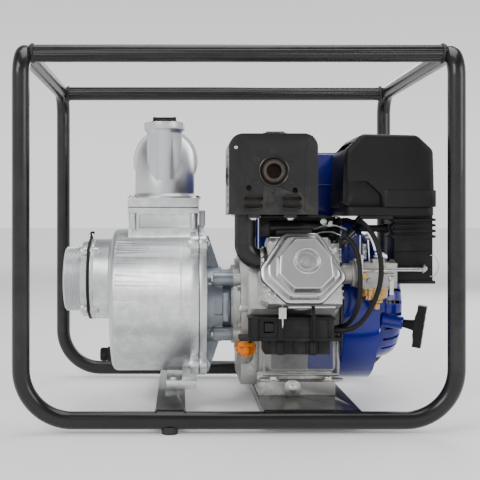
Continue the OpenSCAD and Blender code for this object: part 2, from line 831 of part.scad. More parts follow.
module fuel_valve_lever() {
    color("dimgray") {
        rod_y(-182, -168.5, fuel_valve_at[0], fuel_valve_at[1], lever_pin_d);
        block([fuel_valve_at[0] - 3, fuel_valve_at[0] + 3], [-185, -182], [206, 229]);
    }
}

// bracket on the crankcase that carries the throttle lever and the governor arm
lever_y = -50;
lever_x = [148, 168];
bracket_z = 308;
module control_bracket() {
    y = [-66, -34];
    color("dimgray") difference() {
        union() {
            block([136, 178], y, [bracket_z, bracket_z + 3]);
            block([136, 139], y, [case_z[1], bracket_z + cut]);
            block([175, 178], y, [case_z[1], bracket_z + cut]);
        }
        for (x = lever_x) rod_z(bracket_z - cut, bracket_z + 4, x, lever_y, pin_hole_d);
    }
}

module lever_arm(x, z) {
    block([x - 3, x + 3], [lever_y - 44, lever_y + 4], [z, z + 2]);
}

module throttle_lever() {
    color("silver") {
        rod_z(bracket_z - 6, bracket_z + 8, lever_x[0], lever_y, lever_pin_d);
        lever_arm(lever_x[0], bracket_z + 8);
    }
}

module governor_arm() {
    color("silver") {
        rod_z(bracket_z - 6, bracket_z + 14, lever_x[1], lever_y, lever_pin_d);
        lever_arm(lever_x[1], bracket_z + 14);
    }
}

// tray, elbow and foot of the air cleaner
module air_cleaner_base() {
    color("black") difference() {
        union() {
            round_block([174, 316], [-183, -49], [332, cleaner_z], 14);
            block([256, 318], [-160, -112], [222, 333]);
            for (z = [296 : 9 : 323]) block([252, 322], [-164, -108], [z, z + 4]);
        }
        block([260, 314], [-156, -116], [236, 340]);
        rod_z(330, 346, 287, -136, 40);
        rod_x(255, 261, -150, 244, 24);
        rod_x(251, 262, breather_at[0], breather_at[1], 9);
    }
}

module air_filter() {
    color("gray") difference() {
        round_block([200, 300], [-165, -67], [cleaner_z, 436], 12);
        round_block([220, 280], [-147, -85], [cleaner_z - cut, 425], 8);
    }
}

module air_cleaner_cover() {
    color("black") difference() {
        front_round_block([170, 318], [-187, -45], [cleaner_z + loose_gap, 462], 26);
        front_round_block([173, 315], [-184, -48], [300, 459], 23);
        block([160, 330], [-190, -40], [300, cleaner_z + loose_gap]);
    }
}

module breather_tube() {
    color("black") difference() {
        union() {
            rod_x(216, 251.6, breather_at[0], breather_at[1], 12);
            translate([216, -126, 311]) rotate([180, 0, 0]) rotate([0, 0, 90]) rotate_extrude(angle = 90)
                translate([10, 0]) circle(6);
            rod_y(-126, -108, 206, 311, 12);
        }
        rod_x(240, 257, breather_at[0], breather_at[1], 8);
    }
}

module fuel_tank() {
    x = tank_x;
    y = tank_y;
    z = tank_z;
    wall = 2.5;
    color("blue") difference() {
        union() {
            round_block(x, y, z, 30);
            rod_z(z[1] - cut, z[1] + 11, filler[0], filler[1], 54);
            for (i = tank_leg_x, j = tank_leg_y) block([i, i + 20], [j, j + 20], [case_z[1], z[0] + cut]);
        }
        round_block([x[0] + wall, x[1] - wall], [y[0] + wall, y[1] - wall], [z[0] + wall, z[1] - wall], 27);
        rod_z(z[1] - 5, z[1] + 12, filler[0], filler[1], 44);
    }
}

module tank_cap() {
    color("black") {
        rod_z(tank_z[1] + 11.4, 488, filler[0], filler[1], 60);
        rod_z(tank_z[1], tank_z[1] + 12, filler[0], filler[1], 42);
    }
}

// fuel line, vent line and spark lead, each clipped at both ends
fuel_line = [[196, -168, 326], [206, -194, 314], [216, -212, 292], [222, -218, 262], [222, -216, 228],
    [214, -205, 196], [202, -192, 168], [186, -180, 152], [172, -172, 148], [158, -168, 148]];
vent_line = [[172, -172, 300], [184, -182, 290], [193, -188, 268], [194, -196, 235], [194, -192, 200],
    [190, -180, 176], [182, -160, 156], [170, -148, 150], [158, -146, 149]];
spark_lead = [[172, -104, 322], [184, -112, 326], [194, -122, 324], [198, -132, 315]];
module engine_hoses() {
    color("black") {
        swept_tube(fuel_line, 8, 10);
        swept_tube(vent_line, 8, 10);
        swept_tube(spark_lead, 7, 8);
    }
}

module spark_plug() {
    mid_s = (head_s[0] + head_s[1]) / 2;
    color("white") tilted() translate([spark_plug_at[0], -mid_s, spark_plug_at[1]]) rotate([0, 45, 0]) {
        translate([0, 0, 2]) cylinder(d = spark_plug_d, h = 32);
        translate([0, 0, 33]) cylinder(d = 20, h = 8, $fn = 6);
        translate([0, 0, 40]) cylinder(d = 16, h = 26);
    }
}

// fan housing: a drum round the flywheel, with the shroud that leads air over the cylinder
module blower_housing() {
    x = housing_x;
    color("blue") difference() {
        union() {
            rod_x(x[0], x[1], 0, crank_z, 2 * housing_r);
            side_round_block([x[0], x[0] + 34], [-104, 40], [crank_z, 326], 14);
        }
        rod_x(x[0] + 3, x[1] - 3, 0, crank_z, 2 * housing_r - 6);
        side_round_block([x[0] + 3, x[0] + 31], [-101, 37], [crank_z, 323], 11);
        rod_x(x[0] - cut, x[0] + 4, 0, crank_z, 90);
        rod_x(x[1] - 4, x[1] + cut, 0, crank_z, 150);
    }
}

module flywheel() {
    blade_n = 12;
    color("silver") difference() {
        union() {
            rod_x(flywheel_x[0], flywheel_x[0] + 14, 0, crank_z, 220);
            rod_x(flywheel_x[0], flywheel_x[1], 0, crank_z, 80);
            for (a = [0 : 360 / blade_n : 359])
                translate([0, 0, crank_z]) rotate([a, 0, 0])
                    block([flywheel_x[0] + 13, flywheel_x[1]], [-2, 2], [38, 106]);
        }
        rod_x(flywheel_x[0] - cut, flywheel_x[1] + cut, 0, crank_z, shaft_d + 2 * fit_gap);
    }
}

module recoil_cover() {
    x = recoil_x;
    color("blue") difference() {
        union() {
            rod_x(x[0], x[1], 0, crank_z, 2 * recoil_r);
            translate(handle_at) rotate(handle_turn) rod_x(-34, 0, 0, 0, 24);
        }
        rod_x(x[0] - cut, x[1] - 3, 0, crank_z, 2 * recoil_r - 6);
        translate(handle_at) rotate(handle_turn) rod_x(-60, cut, 0, 0, rope_bore_d);
        // slots for cooling air above and below the axis
        for (s = [-1, 1], r = [50, 62, 74])
            block([x[1] - 4, x[1] + cut], [-40, 40], [crank_z + s * r - 3, crank_z + s * r + 3]);
    }
}

module recoil_pulley() {
    color("dimgray") difference() {
        union() {
            rod_x(266, 270, 0, crank_z, 116);
            rod_x(270, 280, 0, crank_z, 90);
            rod_x(280, 284, 0, crank_z, 116);
        }
        rod_x(265, 285, 0, crank_z, 16);
    }
}

// T-shaped grip on the end of the starter rope
module recoil_handle() {
    color("black") translate(handle_at) rotate(handle_turn) {
        rod_x(loose_gap, 18, 0, 0, 16);
        translate([26, 0, 0]) side_round_block([-8, 8], [-11, 11], [-35, 35], 6);
    }
}

module recoil_rope() {
    color("gray") translate(handle_at) rotate(handle_turn) rod_x(-22, 0, 0, 0, rope_d);
}

module control_box() {
    color("black") difference() {
        union() {
            block([22, 156], [-180, -136], [137, 168]);
            block([6, 168], [-182, -134], [132, 137.5]);
            block([46, 150], [-174, -112], [110, 132.5]);
            block([60, 140], [-113, case_y[0]], [115, 128]);
        }
        block([44, 60], [-181, -170], [145, 163]);
        rod_x(41, 63, switch_pin[0], switch_pin[1], 2 + 2 * fit_gap);
    }
}

module engine_switch() {
    color("black") {
        block([45, 59], [-183, -172.5], [147.5, 160.5]);
        rod_x(42, 62, switch_pin[0], switch_pin[1], 2);
    }
}

// filler cap with its oil gauge stick
module dipstick() {
    color("orange") translate(fill_at) rotate(fill_turn) {
        translate([0, 0, -6]) cylinder(d = fill_d, h = 20.5);
        translate([0, 0, -34]) cylinder(d = 6, h = 29);
        translate([0, 0, 14.4]) cylinder(d = 30, h = 6);
        block([-4, 4], [-14, 14], [20, 28]);
    }
}

module engine_bolts() {
    color("lightgray") {
        at_base_bolts() translate([0, 0, case_z[0]]) rotate([180, 0, 0]) bolt(bolt_d, 30, bolt_head_d);
        translate([drain_bolt_at[0], base_y[0], drain_bolt_at[1]]) rotate([-90, 0, 0])
            bolt(drain_bolt_d, 18, 20);
        at_side_bolts() translate([adapter_x[1] + 12, 0, 0]) rotate([0, 90, 0]) bolt(6, 7, 10);
    }
}

// ---- each sub-part is drawn on its own or as part of the whole ----
front_lower_rail();
rear_lower_rail();
left_side_hoop();
right_side_hoop();
front_top_tube();
rear_top_tube();
pump_crossmember();
engine_crossmember();
rubber_feet();
suction_nipple();
suction_gasket();
check_valve_flap();
pump_casing();
volute_insert();
impeller();
shaft_seal();
casing_gasket();
casing_cover();
engine_adapter();
discharge_gasket();
discharge_elbow();
priming_plug();
drain_plug();
pump_bolts();
crankcase();
side_cover();
crankshaft();
piston();
cylinder_barrel();
cylinder_head();
valve_cover();
valve_cover_gasket();
exhaust_pipe();
muffler_can();
muffler_guard();
carburetor();
float_bowl();
choke_lever();
fuel_valve_lever();
control_bracket();
throttle_lever();
governor_arm();
air_cleaner_base();
air_filter();
air_cleaner_cover();
breather_tube();
fuel_tank();
tank_cap();
engine_hoses();
spark_plug();
blower_housing();
flywheel();
recoil_cover();
recoil_pulley();
recoil_handle();
recoil_rope();
control_box();
engine_switch();
dipstick();
engine_bolts();
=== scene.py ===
import json
import math
import bmesh
import bpy
from mathutils import Matrix, Vector

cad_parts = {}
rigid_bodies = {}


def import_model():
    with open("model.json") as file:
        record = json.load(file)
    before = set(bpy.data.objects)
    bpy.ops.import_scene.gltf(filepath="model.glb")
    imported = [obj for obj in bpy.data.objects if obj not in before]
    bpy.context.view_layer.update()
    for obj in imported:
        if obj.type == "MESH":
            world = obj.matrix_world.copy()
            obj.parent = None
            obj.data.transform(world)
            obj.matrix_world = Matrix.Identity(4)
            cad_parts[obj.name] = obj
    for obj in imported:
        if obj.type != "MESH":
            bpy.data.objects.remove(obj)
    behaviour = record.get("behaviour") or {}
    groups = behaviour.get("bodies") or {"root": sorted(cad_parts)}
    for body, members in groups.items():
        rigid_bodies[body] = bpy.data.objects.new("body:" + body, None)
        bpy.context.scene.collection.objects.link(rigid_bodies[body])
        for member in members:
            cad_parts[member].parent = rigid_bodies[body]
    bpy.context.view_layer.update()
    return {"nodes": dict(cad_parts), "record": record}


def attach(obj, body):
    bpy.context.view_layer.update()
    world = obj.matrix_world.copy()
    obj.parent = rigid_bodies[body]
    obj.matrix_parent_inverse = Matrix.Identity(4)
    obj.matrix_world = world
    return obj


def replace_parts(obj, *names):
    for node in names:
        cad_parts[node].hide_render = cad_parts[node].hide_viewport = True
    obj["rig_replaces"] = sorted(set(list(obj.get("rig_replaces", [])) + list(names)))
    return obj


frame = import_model()
scene = bpy.context.scene
mm = 0.001
fullTurn = 2 * math.pi

# ---- camera and room ----
cameraPlace = {"spot": (-0.0874, -1.5673, 0.323), "yaw": 0.0, "lens": 65.44, "shiftX": 0.1223,
               "shiftY": -0.0394}
roomLook = {"floor": (0.93, 0.93, 0.925), "horizon": (1.0, 1.0, 1.0), "zenith": (0.10, 0.105, 0.12),
            "skyStrength": 1.3,
            "floorGlow": (0.12, 0.66), "glowReach": (0.8, 6.0), "floorSize": 80}
lamps = [  # name, spot, size, watts
    ("keyLamp", (-1.5, -1.9, 1.9), 1.3, 42), ("fillLamp", (1.9, -1.5, 1.2), 1.2, 20),
    ("topLamp", (0.1, 0.1, 2.3), 1.6, 30), ("rearLamp", (0.9, 2.1, 1.5), 1.4, 26),
]


def makeCamera():
    data = bpy.data.cameras.new("camera")
    camera = bpy.data.objects.new("camera", data)
    scene.collection.objects.link(camera)
    data.lens, data.sensor_width = cameraPlace["lens"], 36
    data.shift_x, data.shift_y = cameraPlace["shiftX"], cameraPlace["shiftY"]
    camera.location = cameraPlace["spot"]
    camera.rotation_euler = (math.radians(90), 0, math.radians(cameraPlace["yaw"]))
    scene.camera = camera


def makeRoom():
    world = bpy.data.worlds.new("paleRoom")
    world.use_nodes = True
    scene.world = world
    tree = world.node_tree
    sky = tree.nodes["Background"]
    # bright at the horizon and darker overhead, as in a white studio with an open ceiling
    way = tree.nodes.new("ShaderNodeTexCoord")
    parts = tree.nodes.new("ShaderNodeSeparateXYZ")
    ramp = tree.nodes.new("ShaderNodeValToRGB")
    ramp.color_ramp.elements[0].position, ramp.color_ramp.elements[1].position = 0.08, 0.75
    ramp.color_ramp.elements[0].color = (*roomLook["horizon"], 1)
    ramp.color_ramp.elements[1].color = (*roomLook["zenith"], 1)
    tree.links.new(way.outputs["Generated"], parts.inputs[0])
    tree.links.new(parts.outputs["Z"], ramp.inputs["Fac"])
    tree.links.new(ramp.outputs["Color"], sky.inputs["Color"])
    sky.inputs["Strength"].default_value = roomLook["skyStrength"]
    for name, spot, size, watts in lamps:
        light = bpy.data.lights.new(name, "AREA")
        light.size, light.energy = size, watts
        lamp = bpy.data.objects.new(name, light)
        scene.collection.objects.link(lamp)
        lamp.location = spot
        lamp.rotation_euler = (Vector((0, 0, 0.3)) - Vector(spot)).to_track_quat("-Z", "Y").to_euler()
    bpy.ops.mesh.primitive_plane_add(size=roomLook["floorSize"], location=(0, 0, 0))
    floor = bpy.context.object
    floor.name = "floor"
    paint = bpy.data.materials.new("floorPaint")
    paint.use_nodes = True
    shader = paint.node_tree.nodes["Principled BSDF"]
    shader.inputs["Base Color"].default_value = (*roomLook["floor"], 1)
    shader.inputs["Roughness"].default_value = 0.7
    shader.inputs["Emission Color"].default_value = (1, 1, 1, 1)
    spread = paint.node_tree.nodes.new("ShaderNodeTexCoord")  # the floor fades into the pale backdrop
    reach = paint.node_tree.nodes.new("ShaderNodeVectorMath")
    reach.operation = "LENGTH"
    fade = paint.node_tree.nodes.new("ShaderNodeMapRange")
    fade.interpolation_type = "SMOOTHSTEP"
    fade.inputs["From Min"].default_value, fade.inputs["From Max"].default_value = roomLook["glowReach"]
    fade.inputs["To Min"].default_value, fade.inputs["To Max"].default_value = roomLook["floorGlow"]
    paint.node_tree.links.new(spread.outputs["Object"], reach.inputs[0])
    paint.node_tree.links.new(reach.outputs["Value"], fade.inputs["Value"])
    paint.node_tree.links.new(fade.outputs["Result"], shader.inputs["Emission Strength"])
    floor.data.materials.append(paint)


makeCamera()
makeRoom()
print("camera and room are in place")

# ---- shared effects ----


def newGroup(name, inputs, outputs):
    group = bpy.data.node_groups.new(name, "ShaderNodeTree")
    for title, kind, value in inputs:
        socket = group.interface.new_socket(title, in_out="INPUT", socket_type="NodeSocket" + kind)
        socket.default_value = value
    for title, kind in outputs:
        group.interface.new_socket(title, in_out="OUTPUT", socket_type="NodeSocket" + kind)
    return group, group.nodes.new("NodeGroupInput"), group.nodes.new("NodeGroupOutput")


def noiseAt(group, place, scale, detail, roughness=0.55):
    noise = group.nodes.new("ShaderNodeTexNoise")
    noise.inputs["Detail"].default_value = detail
    noise.inputs["Roughness"].default_value = roughness
    group.links.new(place, noise.inputs["Vector"])
    if hasattr(scale, "links"):
        group.links.new(scale, noise.inputs["Scale"])
    else:
        noise.inputs["Scale"].default_value = scale
    return noise.outputs["Fac"]


def mathNode(group, operation, first, second=None, third=None, clamp=False):
    node = group.nodes.new("ShaderNodeMath")
    node.operation, node.use_clamp = operation, clamp
    for i, value in enumerate((first, second, third)):
        if value is None:
            continue
        if hasattr(value, "links"):
            group.links.new(value, node.inputs[i])
        else:
            node.inputs[i].default_value = value
    return node.outputs[0]


def spread(group, value, fromLow, fromHigh, toLow=0.0, toHigh=1.0):
    node = group.nodes.new("ShaderNodeMapRange")
    for title, number in (("Value", value), ("From Min", fromLow), ("From Max", fromHigh),
                          ("To Min", toLow), ("To Max", toHigh)):
        if hasattr(number, "links"):
            group.links.new(number, node.inputs[title])
        else:
            node.inputs[title].default_value = number
    return node.outputs["Result"]


def mixColour(group, factor, first, second, blend="MIX"):
    node = group.nodes.new("ShaderNodeMix")
    node.data_type, node.blend_type = "RGBA", blend
    for socket, value in ((node.inputs[0], factor), (node.inputs[6], first), (node.inputs[7], second)):
        if hasattr(value, "links"):
            group.links.new(value, socket)
        else:
            socket.default_value = value
    return node.outputs[2]


def makeGrainGroup():
    # fine grain of a cast, coated or moulded skin: a roughness and a height
    group, taken, given = newGroup("surfaceGrain", [
        ("Fine Scale", "Float", 900.0), ("Coarse Scale", "Float", 60.0), ("Coarse Share", "Float", 0.3),
        ("Rough Low", "Float", 0.3), ("Rough High", "Float", 0.5)], [("Roughness", "Float"),
                ("Height", "Float")])
    place = group.nodes.new("ShaderNodeTexCoord").outputs["Object"]
    fine = noiseAt(group, place, taken.outputs["Fine Scale"], 2.0)
    coarse = noiseAt(group, place, taken.outputs["Coarse Scale"], 3.0)
    blotch = noiseAt(group, place, 14.0, 4.0)
    mixed = mathNode(group, "ADD", mathNode(group, "MULTIPLY", coarse, taken.outputs["Coarse Share"]), fine)
    rough = mathNode(group, "ADD", mathNode(group, "MULTIPLY", fine, 0.4), mathNode(group, "MULTIPLY",
            blotch, 0.6))
    group.links.new(spread(group, rough, 0.3, 0.7, taken.outputs["Rough Low"], taken.outputs["Rough High"]),
                    given.inputs["Roughness"])
    group.links.new(mixed, given.inputs["Height"])
    return group


def makeWearGroup():
    # masks: rubbed edges, dust lying on top, and slow changes of shade
    group, taken, given = newGroup("wearMasks", [("Edge Width", "Float", 1.0), ("Patch Scale", "Float",
            25.0)],
                                   [("Edge", "Float"), ("Dust", "Float"), ("Shade", "Float")])
    place = group.nodes.new("ShaderNodeTexCoord").outputs["Object"]
    shape = group.nodes.new("ShaderNodeNewGeometry")
    patches = noiseAt(group, place, taken.outputs["Patch Scale"], 5.0, 0.65)
    sharp = spread(group, shape.outputs["Pointiness"], 0.53, 0.62)
    edge = mathNode(group, "MULTIPLY", mathNode(group, "MULTIPLY", sharp, spread(group, patches, 0.42, 0.62)),
                    taken.outputs["Edge Width"], clamp=True)
    parts = group.nodes.new("ShaderNodeSeparateXYZ")
    group.links.new(shape.outputs["Normal"], parts.inputs[0])
    dust = mathNode(group, "MULTIPLY", spread(group, parts.outputs["Z"], 0.55, 1.0),
                    spread(group, noiseAt(group, place, 140.0, 6.0, 0.7), 0.4, 0.7), clamp=True)
    group.links.new(edge, given.inputs["Edge"])
    group.links.new(dust, given.inputs["Dust"])
    group.links.new(spread(group, noiseAt(group, place, 9.0, 3.0), 0.3, 0.7), given.inputs["Shade"])
    return group


def makeBrushGroup():
    # long fine scratches along one axis of the piece
    group, taken, given = newGroup("brushedLines", [("Stretch", "Vector", (1.0, 60.0, 60.0)),
                                                    ("Scale", "Float", 30.0)],
                                   [("Lines", "Float")])
    place = group.nodes.new("ShaderNodeTexCoord").outputs["Object"]
    mapping = group.nodes.new("ShaderNodeMapping")
    group.links.new(place, mapping.inputs["Vector"])
    group.links.new(taken.outputs["Stretch"], mapping.inputs["Scale"])
    group.links.new(noiseAt(group, mapping.outputs[0], taken.outputs["Scale"], 4.0, 0.7),
                    given.inputs["Lines"])
    return group


grainGroup, wearGroup, brushGroup = makeGrainGroup(), makeWearGroup(), makeBrushGroup()

# ---- finishes: one dictionary for each ----
finishes = {
    "frame_black": dict(shine=0.3, colour=(0.005, 0.005, 0.005), shade=(0.010, 0.010, 0.010),
                        worn=(0.05, 0.05, 0.05), rough=(0.26, 0.36),
                        fine=320, bump=0.10, coat=0.25, edge=0.35, dust=(0.14, 0.14, 0.13), dustShare=0.05),
    "foot_rubber": dict(colour=(0.016, 0.016, 0.016), shade=(0.03, 0.03, 0.029), rough=(0.7, 0.9), fine=700,
                        bump=0.3,
                        dust=(0.16, 0.15, 0.13), dustShare=0.3),
    "cast_aluminium": dict(colour=(0.66, 0.67, 0.68), shade=(0.60, 0.61, 0.62), worn=(0.86, 0.86, 0.86),
                           metal=0.92,
                           rough=(0.34, 0.42), fine=1300, coarse=220, bump=0.10, edge=0.7, patch=60,
                           dust=(0.4, 0.39, 0.37), dustShare=0.05),
    "adapter_grey": dict(colour=(0.36, 0.40, 0.44), shade=(0.28, 0.31, 0.35), worn=(0.7, 0.72, 0.74),
                         metal=0.85,
                         rough=(0.34, 0.5), fine=1100, coarse=150, bump=0.25, edge=0.8, patch=60),
    "black_rubber": dict(shine=0.2, colour=(0.007, 0.007, 0.007), shade=(0.014, 0.014, 0.014),
                         rough=(0.42, 0.62), fine=900, bump=0.15),
    "cast_iron": dict(colour=(0.10, 0.10, 0.105), shade=(0.06, 0.06, 0.065), worn=(0.3, 0.3, 0.3), metal=0.7,
                      rough=(0.5, 0.75),
                      fine=800, coarse=180, bump=0.5, edge=0.6),
    "seal_steel": dict(colour=(0.55, 0.55, 0.56), shade=(0.45, 0.45, 0.46), metal=1.0, rough=(0.2, 0.34),
                       fine=1500, bump=0.05,
                       brush=(60.0, 1.0, 1.0)),
    "black_plastic": dict(shine=0.2, colour=(0.007, 0.007, 0.007), shade=(0.012, 0.012, 0.012),
                          worn=(0.06, 0.06, 0.06), rough=(0.40, 0.54),
                          fine=1500, coarse=260, bump=0.22, edge=0.3, dust=(0.12, 0.12, 0.11),
                          dustShare=0.06),
    "zinc_bolt": dict(colour=(0.60, 0.66, 0.69), shade=(0.62, 0.60, 0.48), worn=(0.85, 0.85, 0.85),
                      metal=1.0, rough=(0.2, 0.38),
                      fine=1600, bump=0.08, edge=0.6, patch=120),
    "engine_casting": dict(colour=(0.47, 0.47, 0.455), shade=(0.36, 0.36, 0.35), worn=(0.75, 0.75, 0.74),
                           metal=0.8,
                           rough=(0.36, 0.54), fine=1200, coarse=170, bump=0.3, edge=0.8, patch=60,
                           dust=(0.3, 0.29, 0.27), dustShare=0.15),
    "pressed_aluminium": dict(colour=(0.64, 0.64, 0.64), shade=(0.54, 0.54, 0.54), worn=(0.85, 0.85, 0.85),
                              metal=1.0,
                              rough=(0.22, 0.34), fine=1500, bump=0.05, brush=(90.0, 2.0, 90.0), edge=0.5),
    "machined_aluminium": dict(colour=(0.62, 0.62, 0.63), shade=(0.52, 0.52, 0.53), metal=1.0,
                               rough=(0.24, 0.36), fine=1500,
                               bump=0.06, brush=(80.0, 1.0, 1.0)),
    "heat_black": dict(shine=0.3, colour=(0.005, 0.005, 0.005), shade=(0.011, 0.010, 0.010),
                       worn=(0.08, 0.075, 0.07), rough=(0.24, 0.38),
                       fine=800, coarse=120, bump=0.12, coat=0.2, edge=0.4, dust=(0.12, 0.12, 0.11),
                       dustShare=0.05),
    "muffler_steel": dict(colour=(0.05, 0.045, 0.042), shade=(0.11, 0.075, 0.05), metal=0.7,
                          rough=(0.45, 0.7), fine=900,
                          coarse=100, bump=0.3),
    "carb_zinc": dict(colour=(0.42, 0.41, 0.385), shade=(0.33, 0.32, 0.30), worn=(0.7, 0.7, 0.68), metal=0.8,
                      rough=(0.34, 0.5),
                      fine=1200, coarse=220, bump=0.25, edge=0.7),
    "gold_chromate": dict(colour=(0.60, 0.40, 0.12), shade=(0.52, 0.30, 0.14), worn=(0.75, 0.65, 0.3),
                          metal=1.0, rough=(0.2, 0.36),
                          fine=1200, bump=0.06, patch=40, edge=0.4),
    "foam": dict(colour=(0.05, 0.05, 0.052), shade=(0.10, 0.10, 0.10), rough=(0.85, 0.98), fine=420,
                 coarse=900, bump=0.9),
    "blue_paint": dict(colour=(0.002, 0.008, 0.25), shade=(0.002, 0.006, 0.17), worn=(0.02, 0.035, 0.34),
                       rough=(0.14, 0.22), fine=260,
                       bump=0.05, shine=0.3, coat=0.4, edge=0.3, dust=(0.16, 0.17, 0.26), dustShare=0.03),
    "plug_black": dict(colour=(0.012, 0.012, 0.012), shade=(0.02, 0.02, 0.02), rough=(0.2, 0.32), fine=900,
                       bump=0.06, coat=0.4),
    "rope": dict(colour=(0.03, 0.03, 0.03), shade=(0.09, 0.09, 0.09), rough=(0.7, 0.9), fine=1400, bump=0.8,
                 brush=(300.0, 300.0, 300.0)),
    "switch_black": dict(colour=(0.02, 0.02, 0.022), shade=(0.014, 0.014, 0.015), shine=0.2,
                         rough=(0.4, 0.5), fine=900, bump=0.05),
    "orange_plastic": dict(colour=(0.88, 0.27, 0.008), shade=(0.78, 0.21, 0.006), worn=(0.9, 0.45, 0.1),
                           rough=(0.34, 0.46), fine=1100,
                           bump=0.12, edge=0.3),
    "glow_plate": dict(colour=(0.002, 0.006, 0.12), shade=(0.003, 0.008, 0.15), rough=(0.2, 0.3), fine=700,
                       bump=0.04, coat=0.5),
    # a darker copy of engine_casting, used as painted shade
    "dark_casting": dict(colour=(0.16, 0.16, 0.155), shade=(0.12, 0.12, 0.118), worn=(0.4, 0.4, 0.4),
                         metal=0.7, rough=(0.34, 0.48),
                         fine=1100, coarse=140, bump=0.2, edge=0.6),
    "brass": dict(colour=(0.60, 0.42, 0.16), shade=(0.5, 0.34, 0.13), metal=1.0, rough=(0.25, 0.4),
                  fine=1200, bump=0.08),
}


def makeFinish(name, look):
    paint = bpy.data.materials.new(name)
    paint.use_nodes = True
    tree = paint.node_tree
    shader = tree.nodes["Principled BSDF"]
    grain = tree.nodes.new("ShaderNodeGroup")
    grain.node_tree = grainGroup
    wear = tree.nodes.new("ShaderNodeGroup")
    wear.node_tree = wearGroup
    grain.inputs["Fine Scale"].default_value = look.get("fine", 900)
    grain.inputs["Coarse Scale"].default_value = look.get("coarse", 90)
    grain.inputs["Coarse Share"].default_value = look.get("coarseShare", 0.8)
    grain.inputs["Rough Low"].default_value, grain.inputs["Rough High"].default_value = look["rough"]
    wear.inputs["Edge Width"].default_value = look.get("edge", 0.0)
    wear.inputs["Patch Scale"].default_value = look.get("patch", 30)
    colour = mixColour(tree, wear.outputs["Shade"], (*look["colour"], 1), (*look["shade"], 1))
    if "dust" in look:
        share = mathNode(tree, "MULTIPLY", wear.outputs["Dust"], look["dustShare"])
        colour = mixColour(tree, share, colour, (*look["dust"], 1))
    if "worn" in look:
        colour = mixColour(tree, wear.outputs["Edge"], colour, (*look["worn"], 1))
    height = grain.outputs["Height"]
    rough = grain.outputs["Roughness"]
    if "brush" in look:
        brush = tree.nodes.new("ShaderNodeGroup")
        brush.node_tree = brushGroup
        brush.inputs["Stretch"].default_value = look["brush"]
        height = mathNode(tree, "ADD", height, mathNode(tree, "MULTIPLY", brush.outputs["Lines"], 1.5))
        rough = mathNode(tree, "ADD", rough, mathNode(tree, "MULTIPLY", brush.outputs["Lines"], 0.12))
    tree.links.new(colour, shader.inputs["Base Color"])
    tree.links.new(rough, shader.inputs["Roughness"])
    bump = tree.nodes.new("ShaderNodeBump")
    bump.inputs["Strength"].default_value = look.get("bump", 0.2)
    bump.inputs["Distance"].default_value = 0.0006
    tree.links.new(height, bump.inputs["Height"])
    tree.links.new(bump.outputs["Normal"], shader.inputs["Normal"])
    shader.inputs["Specular IOR Level"].default_value = look.get("shine", 0.5)
    shader.inputs["Metallic"].default_value = look.get("metal", 0.0)
    shader.inputs["Coat Weight"].default_value = look.get("coat", 0.0)
    shader.inputs["Coat Roughness"].default_value = look.get("coatRough", 0.08)
    return paint


paints = {name: makeFinish(name, look) for name, look in finishes.items()}
print("finishes are mixed:", len(paints))

# ---- workshop helpers ----
slotOf = {row["node"]: row["material_slot"] for row in frame["record"]["subparts"]}
bodyOf = {node: body for body, members in frame["record"]["behaviour"]["bodies"].items() for node in members}


def putAway():
    if bpy.context.mode != "OBJECT":
        bpy.ops.object.mode_set(mode="OBJECT")
    bpy.ops.object.select_all(action="DESELECT")


def takeUp(piece):
    putAway()
    piece.select_set(True)
    bpy.context.view_layer.objects.active = piece
    return piece


def editMode(piece, kind="FACE"):
    takeUp(piece)
    bpy.ops.object.mode_set(mode="EDIT")
    bpy.ops.mesh.select_mode(type=kind)
    bpy.ops.mesh.select_all(action="DESELECT")
    return bmesh.from_edit_mesh(piece.data)


def pick(piece, test, kind="FACE"):
    # selects the faces, edges or vertices that pass the test
    net = editMode(piece, kind)
    parts = {"FACE": net.faces, "EDGE": net.edges, "VERT": net.verts}[kind]
    for part in parts:
        if test(part):
            part.select_set(True)
    net.select_flush_mode()
    bmesh.update_edit_mesh(piece.data)
    return net


def faceTowards(direction, limit=0.9):
    way = Vector(direction).normalized()
    return lambda face: face.normal.dot(way) > limit


def settle(piece):
    # merges doubles and turns the faces outwards
    takeUp(piece)
    bpy.ops.object.transform_apply(location=True, rotation=True, scale=True)
    bpy.ops.object.mode_set(mode="EDIT")
    bpy.ops.mesh.select_all(action="SELECT")
    bpy.ops.mesh.remove_doubles(threshold=0.00002)
    bpy.ops.mesh.normals_make_consistent(inside=False)
    bpy.ops.object.mode_set(mode="OBJECT")
    return piece


def applyModifier(piece, kind, **values):
    takeUp(piece)
    modifier = piece.modifiers.new(kind.lower(), kind)
    for title, value in values.items():
        setattr(modifier, title, value)
    bpy.ops.object.modifier_apply(modifier=modifier.name)
    return piece


def soften(piece, width, segments=2, angle=32):
    return applyModifier(piece, "BEVEL", width=width * mm, segments=segments, limit_method="ANGLE",
                         angle_limit=math.radians(angle), use_clamp_overlap=True)


def smooth(piece, angle=34):
    takeUp(piece)
    bpy.ops.object.shade_smooth_by_angle(angle=math.radians(angle))
    return piece


def dress(piece, name, body, slot, stands=(), paint=None):
    # names the piece, paints it, and rides it on its body
    piece.name = piece.data.name = name
    piece.data.materials.clear()
    piece.data.materials.append(paints[paint or slot])
    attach(piece, body)
    if stands:
        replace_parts(piece, *stands)
    return piece


def addBlock(x, y, z):
    putAway()
    middle = [(x[0] + x[1]) / 2 * mm, (y[0] + y[1]) / 2 * mm, (z[0] + z[1]) / 2 * mm]
    bpy.ops.mesh.primitive_cube_add(size=1, location=middle)
    bpy.context.object.scale = [(x[1] - x[0]) * mm, (y[1] - y[0]) * mm, (z[1] - z[0]) * mm]
    bpy.ops.object.transform_apply(location=True, rotation=True, scale=True)
    return bpy.context.object


